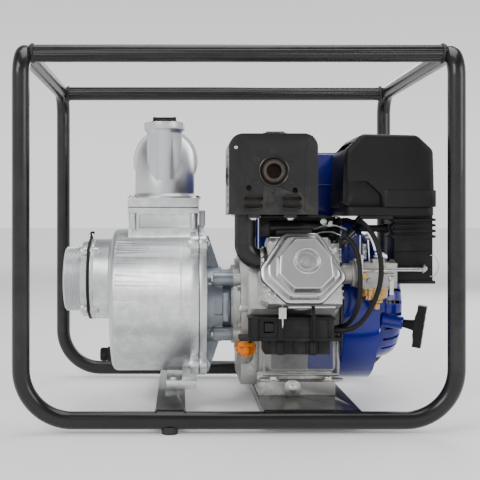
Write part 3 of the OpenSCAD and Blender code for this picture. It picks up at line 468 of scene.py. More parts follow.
def addRod(start, end, radius, sides=32, endRadius=None):
    putAway()
    a, b = Vector(start) * mm, Vector(end) * mm
    turn = (b - a).to_track_quat("Z", "Y").to_euler()
    bpy.ops.mesh.primitive_cone_add(vertices=sides, radius1=radius * mm,
                                    radius2=(radius if endRadius is None else endRadius) * mm,
                                    depth=(b - a).length, location=(a + b) / 2, rotation=turn)
    bpy.ops.object.transform_apply(location=True, rotation=True, scale=True)
    return bpy.context.object


def lathe(profile, origin, axis, steps=64, closed=False):
    # a profile of (radius, distance along the axis) points, spun round the axis
    putAway()
    a = Vector(origin) * mm
    way = Vector(axis).normalized()
    out = way.orthogonal().normalized()
    points = [a + out * (r * mm) + way * (s * mm) for r, s in profile]
    bpy.ops.mesh.primitive_plane_add(size=0.01, location=points[0])
    piece = bpy.context.object
    bpy.ops.object.transform_apply(location=True, rotation=True, scale=True)
    bpy.ops.object.mode_set(mode="EDIT")
    bpy.ops.mesh.select_all(action="SELECT")
    bpy.ops.mesh.merge(type="CENTER")
    bpy.ops.mesh.select_mode(type="VERT")
    bpy.ops.mesh.select_all(action="SELECT")
    for before, after in zip(points, points[1:]):
        bpy.ops.mesh.extrude_region_move(TRANSFORM_OT_translate={"value": after - before})
    if closed:
        bpy.ops.mesh.select_all(action="SELECT")
        bpy.ops.mesh.extrude_region_move(TRANSFORM_OT_translate={"value": (0, 0, 0)})
    bpy.ops.mesh.select_all(action="SELECT")
    bpy.ops.mesh.spin(steps=steps, angle=fullTurn, center=a, axis=way)
    bpy.ops.object.mode_set(mode="OBJECT")
    return settle(piece)


def joined(pieces):
    putAway()
    for piece in pieces:
        piece.select_set(True)
    bpy.context.view_layer.objects.active = pieces[0]
    bpy.ops.object.join()
    return bpy.context.object


def turned(degrees, axis, centre):
    spot = Vector(centre) * mm
    return Matrix.Translation(spot) @ Matrix.Rotation(math.radians(degrees), 4,
                                                      axis) @ Matrix.Translation(-spot)


def carve(piece, cutter, operation="DIFFERENCE"):
    takeUp(piece)
    modifier = piece.modifiers.new("carve", "BOOLEAN")
    modifier.operation, modifier.solver, modifier.object = operation, "EXACT", cutter
    bpy.ops.object.modifier_apply(modifier=modifier.name)
    old = cutter.data
    bpy.data.objects.remove(cutter)
    bpy.data.meshes.remove(old)
    return piece


def tubeAlong(points, radius, sides=5, closed=False):
    # a round tube through the given points
    putAway()
    line = bpy.data.curves.new("line", "CURVE")
    line.dimensions, line.resolution_u, line.bevel_depth, line.bevel_resolution = "3D", 6, radius * mm, sides
    line.use_fill_caps = True
    spline = line.splines.new("BEZIER")
    spline.bezier_points.add(len(points) - 1)
    spline.use_cyclic_u = closed
    for knot, point in zip(spline.bezier_points, points):
        knot.co = Vector(point) * mm
        knot.handle_left_type = knot.handle_right_type = "AUTO"
    tube = bpy.data.objects.new("tube", line)
    scene.collection.objects.link(tube)
    takeUp(tube)
    bpy.ops.object.convert(target="MESH")
    return settle(bpy.context.object)


def plate(outline, way, depth):
    # a flat plate from its outline, drawn point by point and pulled along the way
    putAway()
    points = [Vector(p) * mm for p in outline]
    bpy.ops.mesh.primitive_plane_add(size=0.01, location=points[0])
    piece = bpy.context.object
    bpy.ops.object.transform_apply(location=True, rotation=True, scale=True)
    bpy.ops.object.mode_set(mode="EDIT")
    bpy.ops.mesh.select_all(action="SELECT")
    bpy.ops.mesh.merge(type="CENTER")
    bpy.ops.mesh.select_mode(type="VERT")
    bpy.ops.mesh.select_all(action="SELECT")
    for before, after in zip(points, points[1:]):
        bpy.ops.mesh.extrude_region_move(TRANSFORM_OT_translate={"value": after - before})
    bpy.ops.mesh.select_all(action="SELECT")
    bpy.ops.mesh.edge_face_add()
    bpy.ops.mesh.extrude_region_move(TRANSFORM_OT_translate={"value": Vector(way).normalized() * depth * mm})
    bpy.ops.object.mode_set(mode="OBJECT")
    return settle(piece)


def hexBolt(seat, way, size, washer=True, flange=False, depth=None):
    # a hexagon head with a chamfered crown on its washer, seated on a face and pointing along the way
    radius, height = size * 0.92, depth or size * 0.62
    axis = Vector(way).normalized()
    at = Vector(seat)
    head = addRod(at, at + axis * height, radius, 6)
    crown = lathe([(0, height * 1.001), (radius * 0.82, height * 1.001), (radius * 1.02, height * 0.72),
                   (radius * 1.02, -0.2),
                   (0, -0.2)], at, axis, 24)
    carve(head, crown, "INTERSECT")
    soften(head, 0.25, 1)
    parts = [head]
    if washer:
        parts.append(lathe([(0, 0), (radius * 1.28, 0), (radius * 1.34, 0.3), (radius * 1.3, 1.3),
                            (radius * 0.9, 1.6), (0, 1.6)],
                           at - axis * 0.2, axis, 28))
    if flange:
        parts.append(lathe([(0, 0), (radius * 1.5, 0), (radius * 1.5, 1), (radius * 1.1, 2.4), (0, 2.4)], at,
                           axis, 28))
    return joined(parts)


def crossScrew(seat, way, size):
    # a domed screw head with a cross recess
    axis = Vector(way).normalized()
    at = Vector(seat)
    head = lathe([(0, size * 0.55), (size * 0.5, size * 0.5), (size * 0.85, size * 0.28), (size, 0), (0, 0)],
                 at, axis, 28)
    side = axis.orthogonal().normalized()
    for k in (0, 1):
        across = side if k == 0 else axis.cross(side)
        slotCutter = addRod(at + axis * size * 0.25 - across * size * 0.5,
                            at + axis * size * 0.25 + across * size * 0.5, size * 0.13, 4)
        tall = addRod(at + axis * size * 0.42 - across * size * 0.5,
                      at + axis * size * 0.42 + across * size * 0.5, size * 0.16, 4)
        carve(head, slotCutter)
        carve(head, tall)
    return head


def nodeCopy(node, bevel=0.6, angle=32, segments=2):
    # a merged copy of a CAD node with softened edges
    source = frame["nodes"][node]
    copy = source.copy()
    copy.data = source.data.copy()
    copy.parent = None
    copy.hide_render = copy.hide_viewport = False
    for key in list(copy.keys()):
        del copy[key]
    scene.collection.objects.link(copy)
    takeUp(copy)
    bpy.ops.object.mode_set(mode="EDIT")
    bpy.ops.mesh.select_all(action="SELECT")
    bpy.ops.mesh.remove_doubles(threshold=0.00002)
    bpy.ops.mesh.dissolve_limited(angle_limit=math.radians(0.6))
    bpy.ops.object.mode_set(mode="OBJECT")
    if bevel:
        soften(copy, bevel, segments, angle)
    return copy


def keepNode(node, name, bevel=0.6, angle=32, segments=2, paint=None, extras=(), smoothAngle=34):
    piece = nodeCopy(node, bevel, angle, segments)
    if extras:
        piece = joined([piece, *extras])
    smooth(piece, smoothAngle)
    return dress(piece, name, bodyOf[node], slotOf[node], (node,), paint)


print("helpers are ready")

boltRings = {  # radius, height of the middle, angles
    "screws": (66, 220, (48, 132, 228, 312)), "lobes": (143, 183, (45, 135, 225, 315)),
    "pillars": (73, 175, (40, 140, 220, 320)), "sideCover": (88, 167, (5, 75, 105, 175, 240, 300)),
    "recoil": (96, 175, (22, 112, 202, 292)),
}


def ringPlaces(name):
    # the y and z of each bolt of a ring
    radius, middle, angles = boltRings[name]
    return [(radius * math.cos(math.radians(angle)),
             middle + radius * math.sin(math.radians(angle))) for angle in angles]


# ---- pieces that keep their CAD shape, with softened edges ----
plainKeeps = {  # node: (name, edge radius)
    "suction_gasket": ("suctionGasket", 0.3), "check_valve_flap": ("checkValveFlap", 0.8),
    "volute_insert": ("voluteRing", 1.0),
    "impeller": ("impellerVanes", 1.0), "shaft_seal": ("shaftSeal", 0.5), "casing_gasket": ("casingGasket",
            0.2),
    "discharge_gasket": ("dischargeGasket", 0.2), "piston": ("pistonCrown", 0.5),
    "crankshaft": ("crankShaft", 0.8),
    "valve_cover_gasket": ("valveCoverGasket", 0.3), "air_filter": ("filterFoam", 1.5),
    "flywheel": ("flywheelFan", 0.8),
    "recoil_pulley": ("recoilPulley", 0.8), "recoil_rope": ("recoilRope", 0.0), "spark_plug": ("sparkPlug",
            0.5),
    "breather_tube": ("breatherTube", 0.6), "float_bowl": ("floatBowl", 1.2), "governor_arm": ("governorArm",
            0.4),
    "throttle_lever": ("throttleLever", 0.4), "choke_lever": ("chokeLever", 0.4),
    "fuel_valve_lever": ("fuelValveLever", 0.4),
    "engine_switch": ("engineSwitch", 0.8), "muffler_can": ("silencerCan", 1.5),
    "exhaust_pipe": ("exhaustElbow", 0.5),
}

# ---- frame ----
frameLook = {"beadRadius": 2.6, "beadSteps": 26, "topEnd": 317.6, "topSide": 215, "topHeight": 583,
             "railSide": 240}


def weldRing(centre, axis, radius, bead):
    # a ring of overlapping weld ripples round a tube
    ring = []
    way = Vector(axis).normalized()
    side = way.orthogonal().normalized()
    for k in range(frameLook["beadSteps"]):
        turn = Matrix.Rotation(fullTurn * k / frameLook["beadSteps"], 3, way)
        spot = Vector(centre) + turn @ side * radius
        putAway()
        bpy.ops.mesh.primitive_uv_sphere_add(segments=8, ring_count=6, radius=bead * 1.25 * mm,
                                             location=spot * mm)
        bpy.context.object.scale = (1, 1, 0.9)
        bpy.ops.object.transform_apply(location=True, rotation=True, scale=True)
        ring.append(bpy.context.object)
    return joined(ring)


def makeFrame():
    look = frameLook
    railSide = look["railSide"]
    for side, name in ((-1, "front"), (1, "rear")):
        topTube = nodeCopy(name + "_top_tube", 0)
        beads = [weldRing((x * look["topEnd"], side * look["topSide"], look["topHeight"]), (1, 0, 0), 13.0,
                          look["beadRadius"]) for x in (-1, 1)]
        topTube = joined([topTube, *beads])
        dress(smooth(topTube, 40), name + "TopTube", "machine", "frame_black", (name + "_top_tube",))
        rail = nodeCopy(name + "_lower_rail", 0)
        dress(smooth(rail, 40), name + "LowerRail", "machine", "frame_black", (name + "_lower_rail",))
    for name in ("left", "right"):
        hoop = nodeCopy(name + "_side_hoop", 0)
        dress(smooth(hoop, 40), name + "SideHoop", "machine", "frame_black", (name + "_side_hoop",))
    for node, name, xs in (("pump_crossmember", "pumpCrossmember", (-127, -81)), ("engine_crossmember",
            "engineCrossmember", (38, 186))):
        plateCopy = nodeCopy(node, 0.9)
        beads = []
        for side in (-1, 1):
            for x in xs:  # short fillet welds between the plate and the rail
                beads.append(tubeAlong([(x, side * (railSide - 12), 33), (x + (1.5 if x == xs[0] else -1.5),
                        side * railSide, 34.5),
                                        (x, side * (railSide + 5), 33.2)], 1.6, 3))
        plateCopy = joined([plateCopy, *beads])
        smooth(plateCopy)
        dress(plateCopy, name, "machine", "frame_black", (node,))


makeFrame()
print("frame is welded")

# ---- suction end ----
threadLook = {"pitch": 3.0, "depth": 1.3, "crest": 57.15, "start": -293, "end": -264}


def threadProfile(length, crest, depth, pitch):
    # ridges and grooves along the axis, from the mouth inwards
    points = []
    s = 1.2
    while s + pitch <= length:
        points += [(crest - depth, s), (crest, s + pitch * 0.35), (crest, s + pitch * 0.62), (crest - depth,
                s + pitch * 0.95)]
        s += pitch
    return points


def makeNipple():
    look = threadLook
    length = look["end"] - look["start"]
    outer = [(50.6, 0.0), (54.2, 0.0), (55.4, 1.0)] + threadProfile(length, look["crest"], look["depth"],
            look["pitch"])
    outer += [(55.6, length), (55.6, 29.6), (57.6, 31), (66.2, 31.2), (67, 32), (67, 41.2), (66.4, 42)]
    inner = [(49, 42), (49, 1.6), (50.6, 0.0)]
    tube = lathe(outer + inner, (look["start"], 0, 220), (1, 0, 0), 96)
    lugs = []
    for y, z in ringPlaces("screws"):
        lugs.append(soften(addRod((-262, y, z), (-251.2, y, z), 9.2, 28), 0.7, 2))
        lugs.append(addRod((-262.4, y, z), (-261, y, z), 7.4, 24))
    ribs = [soften(addBlock((-264.5, -252), (-3, 3), (220 + sign * 62 - 4, 220 + sign * 62 + 4)),
                   1.0) for sign in (-1, 1)]
    dress(smooth(joined([tube, *lugs, *ribs]), 28), "suctionNipple", "machine", "cast_aluminium",
          ("suction_nipple",))


def makeGasketHook():
    hook = tubeAlong([(-248.5, -1, 288), (-248.5, -1, 297), (-249.5, 1, 301), (-246.5, 3, 303),
                      (-243.5, 3, 300.5)], 1.9, 4)
    gasket = joined([nodeCopy("suction_gasket", 0.5), hook])
    dress(smooth(gasket, 40), "suctionGasket", "machine", "black_rubber", ("suction_gasket",))


makeNipple()
makeGasketHook()
print("suction end is threaded")

# ---- pump casing ----
casingLook = {"centreZ": 183, "radius": 126, "rimRadius": 9, "panelDepth": 2.2}


def makeCasing():
    shell = nodeCopy("pump_casing", 0)
    z, radius = casingLook["centreZ"], casingLook["radius"]
    # the front shoulder of the drum is rounded over
    shoulder = lathe([(radius - 9, -1), (radius + 6, -1), (radius + 6, 10), (radius + 0.02, 10),
                      (radius - 0.7, 6.2), (radius - 2.7, 2.9),
                      (radius - 6, 0.8), (radius - 9, -0.02)], (-208, 0, z), (1, 0, 0), 96)
    carve(shell, shoulder)
    # sunk panels in the front and back of the discharge neck
    for side in (-1, 1):
        panel = addBlock((-160, -72), sorted((side * (58 - casingLook["panelDepth"]), side * (58 + 4))),
                         (311, 334))
        soften(panel, 1.6)
        carve(shell, panel)
    soften(shell, 0.9, 2, 38)
    extras = []
    for side in (-1, 1):
        pillars = [addRod((x, side * 56, 309), (x, side * 56, 337), 6.5, 28) for x in (-171, -66)]
        extras += [soften(pillar, 0.8) for pillar in pillars]
    # low casting ribs and a parting line round the drum
    extras.append(lathe([(radius - 1.5, -1.2), (radius + 0.35, -0.6), (radius + 0.35, 0.6), (radius - 1.5,
            1.2), (radius - 1.5, -1.2)],
                        (-88, 0, z), (1, 0, 0), 120))
    extras.append(lathe([(70.5, -1), (71.7, -0.5), (71.7, 3.4), (70.5, 4), (70.5, -1)], (-243.5, 0, 220),
                        (1, 0, 0), 96))
    extras.append(lathe([(70.2, 0), (74.5, 0), (72.2, -2.2), (71.2, -5.4), (70.2, -5.4)], (-208.3, 0, 220),
                        (1, 0, 0), 96))
    for y, screwZ in ringPlaces("screws"):  # bosses that take the nipple screws
        extras.append(soften(addRod((-246, y, screwZ), (-232, y, screwZ), 9.0, 28, 8.0), 0.6))
    dress(smooth(joined([shell, *extras]), 32), "pumpCasing", "machine", "cast_aluminium", ("pump_casing",))


def makeCover():
    shell = nodeCopy("casing_cover", 1.2, 38)
    dress(smooth(shell, 32), "casingCover", "machine", "cast_aluminium", ("casing_cover",))


makeCasing()
makeCover()
print("casing is finished")

# ---- discharge elbow and priming neck ----
elbowLook = {"centre": (-117, -22), "rimRadius": 36, "outletZ": 436, "outletRadius": 57.15}


def makeElbow():
    look = elbowLook
    x, y = look["centre"]
    shell = nodeCopy("discharge_elbow", 0)
    soften(shell, 1.4, 3, 40)
    outlet = threadProfile(33, look["outletRadius"], 1.2, 3.0)
    outletRing = lathe([(53, 0), (54.2, 0), (55.4, 1)] + outlet + [(55.6, 33), (53, 33), (53, 0)],
                       (x, 110, look["outletZ"]), (0, -1, 0), 96)
    rim = lathe([(22.4, 0), (look["rimRadius"] - 0.9, 0), (look["rimRadius"], 0.9), (look["rimRadius"],
            10.4), (look["rimRadius"] - 1.3, 12),
                 (look["rimRadius"] - 2.6, 13.2), (31, 19), (30.2, 24), (22.4, 24), (22.4, 0)], (x, y, 496),
                 (0, 0, -1), 72)
    lip = lathe([(30.5, 0), (33.4, 0), (33.4, -0.6), (30.5, -0.6), (30.5, 0)], (x, y, 495.9), (0, 0, 1), 72)
    collar = lathe([(52.8, 0), (58.5, 0), (58.9, 0.6), (58.9, 2.4), (56, 4.6), (53.6, 9), (52.8, 9),
                    (52.8, 0)], (x, -2, 363), (0, 0, 1), 96)
    shelf = []
    for cx, cy in ((-1, -1), (1, -1), (-1, 1), (1, 1)):
        shelf.append(soften(addRod((x + cx * 54, cy * 54, 362.5), (x + cx * 54, cy * 54, 365), 9.5, 28), 0.7))
    rear = lathe([(52.6, 0), (59.5, 0), (60.2, 0.8), (60.2, 5), (59.5, 6), (52.6, 6), (52.6, 0)],
                 (x, 70, look["outletZ"]), (0, 1, 0), 96)
    dress(smooth(joined([shell, outletRing, rim, lip, collar, rear, *shelf]), 32), "dischargeElbow",
          "machine", "cast_aluminium", ("discharge_elbow",))


def makePrimingPlug():
    x, y = elbowLook["centre"]
    cap = lathe([(0, 500.6), (20.5, 500.6), (22.6, 499.8), (23.2, 498.6), (23.2, 496.3), (21.8, 496.3),
                 (21.8, 486.5), (20.8, 485), (0, 485)],
                (x, y, 0), (0, 0, 1), 64)
    wing = addBlock((x - 18, x + 18), (y - 4.5, y + 4.5), (500, 506.5))
    pick(wing, faceTowards((0, 0, 1)))
    bpy.ops.mesh.inset(thickness=2.2 * mm, depth=0)
    bpy.ops.mesh.extrude_region_move(TRANSFORM_OT_translate={"value": (0, 0, -1.6 * mm)})
    putAway()
    soften(wing, 0.8, 2, 40)
    nubs = [soften(addBlock((x + side * 18 - 2.5, x + side * 18 + 2.5), (y - 5.4, y + 5.4), (499.5, 506.9)),
                   1.0) for side in (-1, 1)]
    dress(smooth(joined([cap, wing, *nubs]), 34), "primingPlug", "priming_plug", "black_plastic",
          ("priming_plug",))


drainLook = {"face": -208, "y": -40, "z": 90, "grips": 12}


def makeDrainPlug():
    look = drainLook
    y, z = look["y"], look["z"]
    knob = lathe([(0, -20.8), (9.8, -20.8), (11, -19.8), (11, -9), (13.4, -7.6), (13.4, -2.6), (12.4, -1.6),
                  (10.9, -1.6), (10.9, 8), (0, 8)],
                 (look["face"], y, z), (1, 0, 0), 40)
    bars = [soften(addBlock((-228.4, -215), (y - 11, y + 11), (z - 3, z + 3)), 1.2)]
    for k in range(look["grips"]):
        grip = addBlock((-226, -218), (y - 1.1, y + 1.1), (z + 10, z + 11.9))
        grip.data.transform(turned(k * 360 / look["grips"], "X", (0, y, z)))
        bars.append(grip)
    dress(smooth(joined([knob, *bars]), 34), "drainPlug", "drain_plug", "black_plastic", ("drain_plug",))


def fullBolt(seat, way, size, length, **options):
    # a bolt with its shank, seated on a face and with its head along the way
    axis = Vector(way).normalized()
    shank = addRod(Vector(seat) + axis * 0.5, Vector(seat) - axis * length, size * 0.52, 20)
    return joined([hexBolt(seat, way, size, **options), shank])


def makePumpBolts():
    bolts = []
    for dx, dy in ((-55, -56), (55, -56), (-55, 56), (55, 56)):
        bolts.append(fullBolt((-117 + dx, dy, 363.1), (0, 0, 1), 7.4, 24))
    for y, z in ringPlaces("screws"):
        bolts += [crossScrew((-262.5, y, z), (-1, 0, 0), 5.4), addRod((-262, y, z), (-234, y, z), 3, 16)]
    for y, z in ringPlaces("lobes"):
        bolts.append(fullBolt((-72.1, y, z), (-1, 0, 0), 7.2, 32))
        bolts.append(hexBolt((-44.9, y, z), (1, 0, 0), 6.6, washer=False, flange=True, depth=4))
    for y, z in ringPlaces("pillars"):
        bolts.append(fullBolt((-32.1, y, z), (-1, 0, 0), 7.2, 34))
    for side in (-1, 1):
        bolts.append(fullBolt((-100, side * 60, 50.1), (0, 0, 1), 7.4, 24))
    dress(smooth(joined(bolts), 30), "pumpBolts", "machine", "zinc_bolt", ("pump_bolts",))


makeElbow()
makePrimingPlug()
makeDrainPlug()
makePumpBolts()
print("elbow, plugs and pump bolts are fitted")

# ---- engine adapter ----


adapterLook = {"axisZ": 175, "engineX": 2, "ribX": (-16, -6), "ribSide": 62}


def makeAdapter():
    look = adapterLook
    shell = nodeCopy("engine_adapter", 1.6, 36, 3)
    extras = []
    # a cast ring where the bracket meets the engine
    extras.append(lathe([(59, 0), (63.5, 0), (63.5, 3), (60.5, 6), (59, 6), (59, 0)],
                        (look["engineX"], 0, look["axisZ"]), (-1, 0, 0), 72))
    for side in (-1, 1):  # flat ribs between the pillars
        extras.append(soften(addBlock(look["ribX"], (side * look["ribSide"] - 2, side * look["ribSide"] + 2),
                                      (150, 200)), 1.2))
    dress(smooth(joined([shell, *extras]), 34), "engineAdapter", "machine", "adapter_grey",
          ("engine_adapter",))


makeAdapter()

# ---- cylinder side of the engine ----
tilt = math.radians(20)
coverLook = {"up": 8, "width": 66, "height": 58, "start": 192,
             "middle": [(-12, 43), (20, 43), (43, 13), (45, -22), (24, -42), (-18, -42), (-41, -18),
                        (-39, 12)]}


def onCylinder(x, s, u):
    # a point s out along the slanted cylinder, u up across it, x beside its middle
    return (106 + x, -s * math.cos(tilt) + u * math.sin(tilt), 175 + s * math.sin(tilt) + u * math.cos(tilt))


outward = Vector((0, -math.cos(tilt), math.sin(tilt)))


def roundCorners(outline, radius, steps=5):
    # the outline with each corner replaced by an arc
    points = []
    count = len(outline)
    for i, corner in enumerate(outline):
        here = Vector((*corner, 0))
        before, after = Vector((*outline[i - 1], 0)) - here, Vector((*outline[(i + 1) % count], 0)) - here
        half = before.angle(after) / 2
        reach = min(radius / math.tan(half), before.length * 0.45, after.length * 0.45)
        a, b = here + before.normalized() * reach, here + after.normalized() * reach
        for k in range(steps + 1):
            t = k / steps
            points.append(tuple(((1 - t) ** 2 * a + 2 * t * (1 - t) * here + t * t * b)[:2]))
    return points


def coverOutline(w, h):  # wide low down and narrow at the top
    flat = w / 2 - 5
    return [(-flat, -h), (flat, -h), (w, -h / 3), (w, -h / 6), (flat, h), (-flat, h), (-w, 0), (-w, -h / 3)]


def pressSteps(piece, s, span, steps):
    # raises the flat top in steps, each drawn in towards its middle
    for inset, rise in steps:
        pick(piece, lambda face: face.normal.dot(outward) > 0.98 and face.calc_area() > 0.0015)
        bpy.ops.mesh.extrude_region_move(TRANSFORM_OT_translate={"value": outward * rise * mm})
        s += rise
        share = 1 - inset / span
        bpy.ops.transform.resize(value=(share, share, share), center_override=Vector(onCylinder(0, s,
                coverLook["up"])) * mm)
        putAway()


def makeValveCover():
    look = coverLook
    outline = roundCorners(coverOutline(look["width"], look["height"]), 15)
    start = [onCylinder(x, look["start"], u + look["up"]) for x, u in outline]
    cover = plate(start, outward, 2.2)
    # pressed steps, from the clamped lip to the raised middle: (inset, rise)
    pressSteps(cover, look["start"] + 2.2, 50, ((1.2, 0.9), (2.6, 0.2), (1.2, 2.4), (3.0, 6.2), (1.4, 0.9),
                                                (2.6, 0.1)))
    raised = roundCorners([(x * 1.08, u * 1.08 + look["up"]) for x, u in look["middle"]], 7, 4)
    middle = plate([onCylinder(x, look["start"] + 9, u) for x, u in raised], outward, 4)
    pressSteps(middle, look["start"] + 13, 44, ((0.6, 1.2), (3.2, 10.9), (0.7, 1.2), (1.0, 0.5), (1.6, 0.0),
                                                (0.5, -0.5), (0.4, -0.7)))
    hub = onCylinder(4, look["start"] + 26.6, look["up"] + 4)
    dish = lathe([(0, -9), (15.5, -9), (19.5, 2), (19.5, 8), (0, 8)], hub, outward, 56)
    carve(middle, dish)
    well = lathe([(0, -6.4), (7.6, -6.4), (8.6, -4.8), (9.4, -4.8), (10.6, -7.6), (14.8, -7.9), (16.4, -6.5),
                  (19.2, 0.4), (20.4, 1.2), (21.4, 0.2),
                  (21.2, -0.9), (19, -1.2), (15, -10), (0, -10)], hub, outward, 72)
    knob = lathe([(0, -2.6), (2.6, -2.6), (3.2, -3.4), (3.2, -6.6), (0, -6.6)], hub, outward, 28)
    dress(smooth(joined([cover, middle, well, knob]), 30), "valveCover", "machine", "pressed_aluminium",
          ("valve_cover",))
    gasket = plate([onCylinder(x, 190.1, u + look["up"]) for x, u in roundCorners(coverOutline(67.2, 59.2),
            15)], outward, 1.9)
    soften(gasket, 0.5, 2)
    dress(smooth(gasket, 30), "valveCoverGasket", "machine", "black_rubber", ("valve_cover_gasket",))


headBolts = [(-46, 51), (-50, -36), (50, 40), (52, -36)]


def makeHead():
    head = nodeCopy("cylinder_head", 1.2, 36, 2)
    extras = []
    for x, u in headBolts:
        boss = addRod(onCylinder(x, 160, u), onCylinder(x, 189.5, u), 9.5, 28)
        extras.append(soften(boss, 0.8))
    for k in range(6):  # thin cooling fins on the sunny side
        fin = plate([onCylinder(-70, 160.5 + k * 4.6, -42), onCylinder(-70, 160.5 + k * 4.6, 4),
                     onCylinder(-50, 160.5 + k * 4.6, 14),
                     onCylinder(-50, 160.5 + k * 4.6, -48)], outward, 1.8)
        extras.append(soften(fin, 0.5, 1))
    spigot = soften(addRod(onCylinder(-66, 170, 29), onCylinder(-52, 170, 29), 19, 36), 1.2)
    bore = addRod(onCylinder(-70, 170, 29), onCylinder(-50, 170, 29), 12.5, 32)
    extras.append(carve(spigot, bore))
    dress(smooth(joined([head, *extras]), 34), "cylinderHead", "machine", "engine_casting",
          ("cylinder_head",))


makeValveCover()
makeHead()
print("valve cover and head are pressed and cast")

# ---- silencer, its guard and the exhaust elbow ----
guardLook = {"x": (-13, 126), "y": (-207, -98), "z": (333, 460), "ringAt": (57, 401)}


def makeGuard():
    shell = nodeCopy("muffler_guard", 0)
    gx, gz = guardLook["ringAt"]
    cutters = []
    # a row of holes up the left edge and round dimples about the outlet
    for k in range(8):
        cutters.append(soften(addBlock((-16, -8), (-190, -182), (346 + 11 * k, 352.5 + 11 * k)), 2.4, 3))
    for k in range(8):
        cutters.append(soften(addBlock((-16, -8), (-164, -156), (346 + 11 * k, 352.5 + 11 * k)), 2.4, 3))
    for x, z in ((18, 375), (90, 371)):
        cutters.append(addRod((x, -210, z), (x, -203, z), 4.4, 20))
    carve(shell, joined(cutters))
    soften(shell, 0.7, 2, 38)
    extras = []
    ring = lathe([(17.4, -1.5), (20.6, -1.5), (23.6, 0.4), (24.0, 1.8), (22.6, 2.6), (20.4, 1.4),
                  (19.6, 0.4), (17.4, 0.4), (17.4, -1.5)],
                 (gx, -206.6, gz), (0, -1, 0), 64)
    extras.append(ring)
    for angle in (35, 90, 145, 215, 270, 325):  # dimples with raised lips
        px, pz = gx + 33 * math.cos(math.radians(angle)), gz + 31 * math.sin(math.radians(angle))
        extras.append(lathe([(0, -0.6), (2.2, -0.2), (3.3, 0.9), (4.4, 0.5), (5, -0.4), (0, -0.8)],
                            (px, -207, pz), (0, -1, 0), 20))
    for x0 in (10, 70):  # rolled lips round the slots
        for z0 in (343, 355):
            extras.append(tubeAlong([(x0 + 2, -207, z0 - 0.6), (x0 + 28, -207, z0 - 0.6), (x0 + 30.6, -207,
                    z0 + 3), (x0 + 28, -207, z0 + 6.6),
                                     (x0 + 2, -207, z0 + 6.6), (x0 - 0.6, -207, z0 + 3)], 0.9, 3, True))
    # a pressed step that curves over the right shoulder, and the folded hem below
    extras.append(tubeAlong([(106, -207, 338), (107, -207, 410), (109, -207, 436), (113, -206.5, 450),
                             (118, -204, 456)], 1.1, 3))
    extras.append(tubeAlong([(-8, -205.6, 334.2), (122, -205.6, 334.2)], 1.3, 3))
    extras.append(tubeAlong([(-11.6, -200, 334.2), (-11.6, -104, 334.2)], 1.3, 3))
    extras.append(tubeAlong([(124.6, -200, 334.2), (124.6, -104, 334.2)], 1.3, 3))
    for boltX in exhaustLook["guardBolts"]:
        extras.append(soften(addBlock((boltX - 9, boltX + 9), (-206, -186), (328, 334)), 1.0))
    dress(smooth(joined([shell, *extras]), 34), "silencerGuard", "machine", "heat_black", ("muffler_guard",))
    outlet = lathe([(12, -8), (12, 3.4), (13.5, 4), (16.6, 3.4), (17, 1), (17, -8), (12, -8)],
                   (gx, -207.5, gz), (0, -1, 0), 48)
    can = nodeCopy("muffler_can", 1.6)
    mesh = []
    for k in range(-3, 4):  # wire screen inside the outlet
        half = math.sqrt(144 - (k * 3.2) ** 2)
        mesh.append(addRod((gx + k * 3.2, -198, gz - half), (gx + k * 3.2, -198, gz + half), 0.45, 6))
        mesh.append(addRod((gx - half, -198.8, gz + k * 3.2), (gx + half, -198.8, gz + k * 3.2), 0.45, 6))
    seam = tubeAlong([(-6, -152, 362), (-6, -152, 430), (14, -152, 448), (98, -152, 448), (118, -152, 430),
                      (118, -152, 362), (98, -152, 344),
                      (14, -152, 344)], 1.8, 3, True)
    dress(smooth(joined([can, outlet, seam, *mesh]), 34), "silencerCan", "machine", "muffler_steel",
          ("muffler_can",))


exhaustLook = {"port": (-56, 170, 29), "bore": 13.2, "pipeX": 16, "collarZ": 338, "bead": 1.6,
               "guardBolts": (26, 84)}


def makeExhaust():
    look = exhaustLook
    pipe = nodeCopy("exhaust_pipe", 0)
    at = Vector(onCylinder(*look["port"]))
    flangeOutline = roundCorners([(-27, -12), (-12, -21), (12, -21), (27, -12), (27, 12), (12, 21),
                                  (-12, 21), (-27, 12)], 8)
    ring = plate([(at.x - 5.5, at.y + a, at.z + b) for a, b in flangeOutline], (1, 0, 0), 5)
    bore = addRod(at - Vector((9, 0, 0)), at + Vector((3, 0, 0)), look["bore"], 32)
    carve(ring, bore)
    soften(ring, 0.8)
    collar = lathe([(16.6, 0), (21, 0), (21.6, 0.8), (21.6, 4), (16.6, 6), (16.6, 0)], (look["pipeX"], at.y,
            look["collarZ"]), (0, 0, -1), 48)
    bead = weldRing((at.x - 7, at.y, at.z), (1, 0, 0), 17.0, look["bead"])
    dress(smooth(joined([pipe, ring, collar, bead]), 34), "exhaustElbow", "machine", "heat_black",
          ("exhaust_pipe",))
    nuts = [hexBolt((at.x - 5.6, at.y + side * 19.5, at.z), (-1, 0, 0), 5.6) for side in (-1, 1)]
    nuts += [fullBolt((boltX, -196, 327.8), (0, 0, -1), 5.2, 6) for boltX in look["guardBolts"]]
    nuts.append(crossScrew((-2, -207, 438), (0, -1, 0), 3.2))
    dress(smooth(joined(nuts), 30), "exhaustNuts", "machine", "zinc_bolt")


makeGuard()
makeExhaust()
print("silencer and exhaust are fitted")

# ---- air cleaner ----
cleanerLook = {"x": (170, 318), "y": (-187, -45), "z": (345.4, 462), "rimTop": 372}


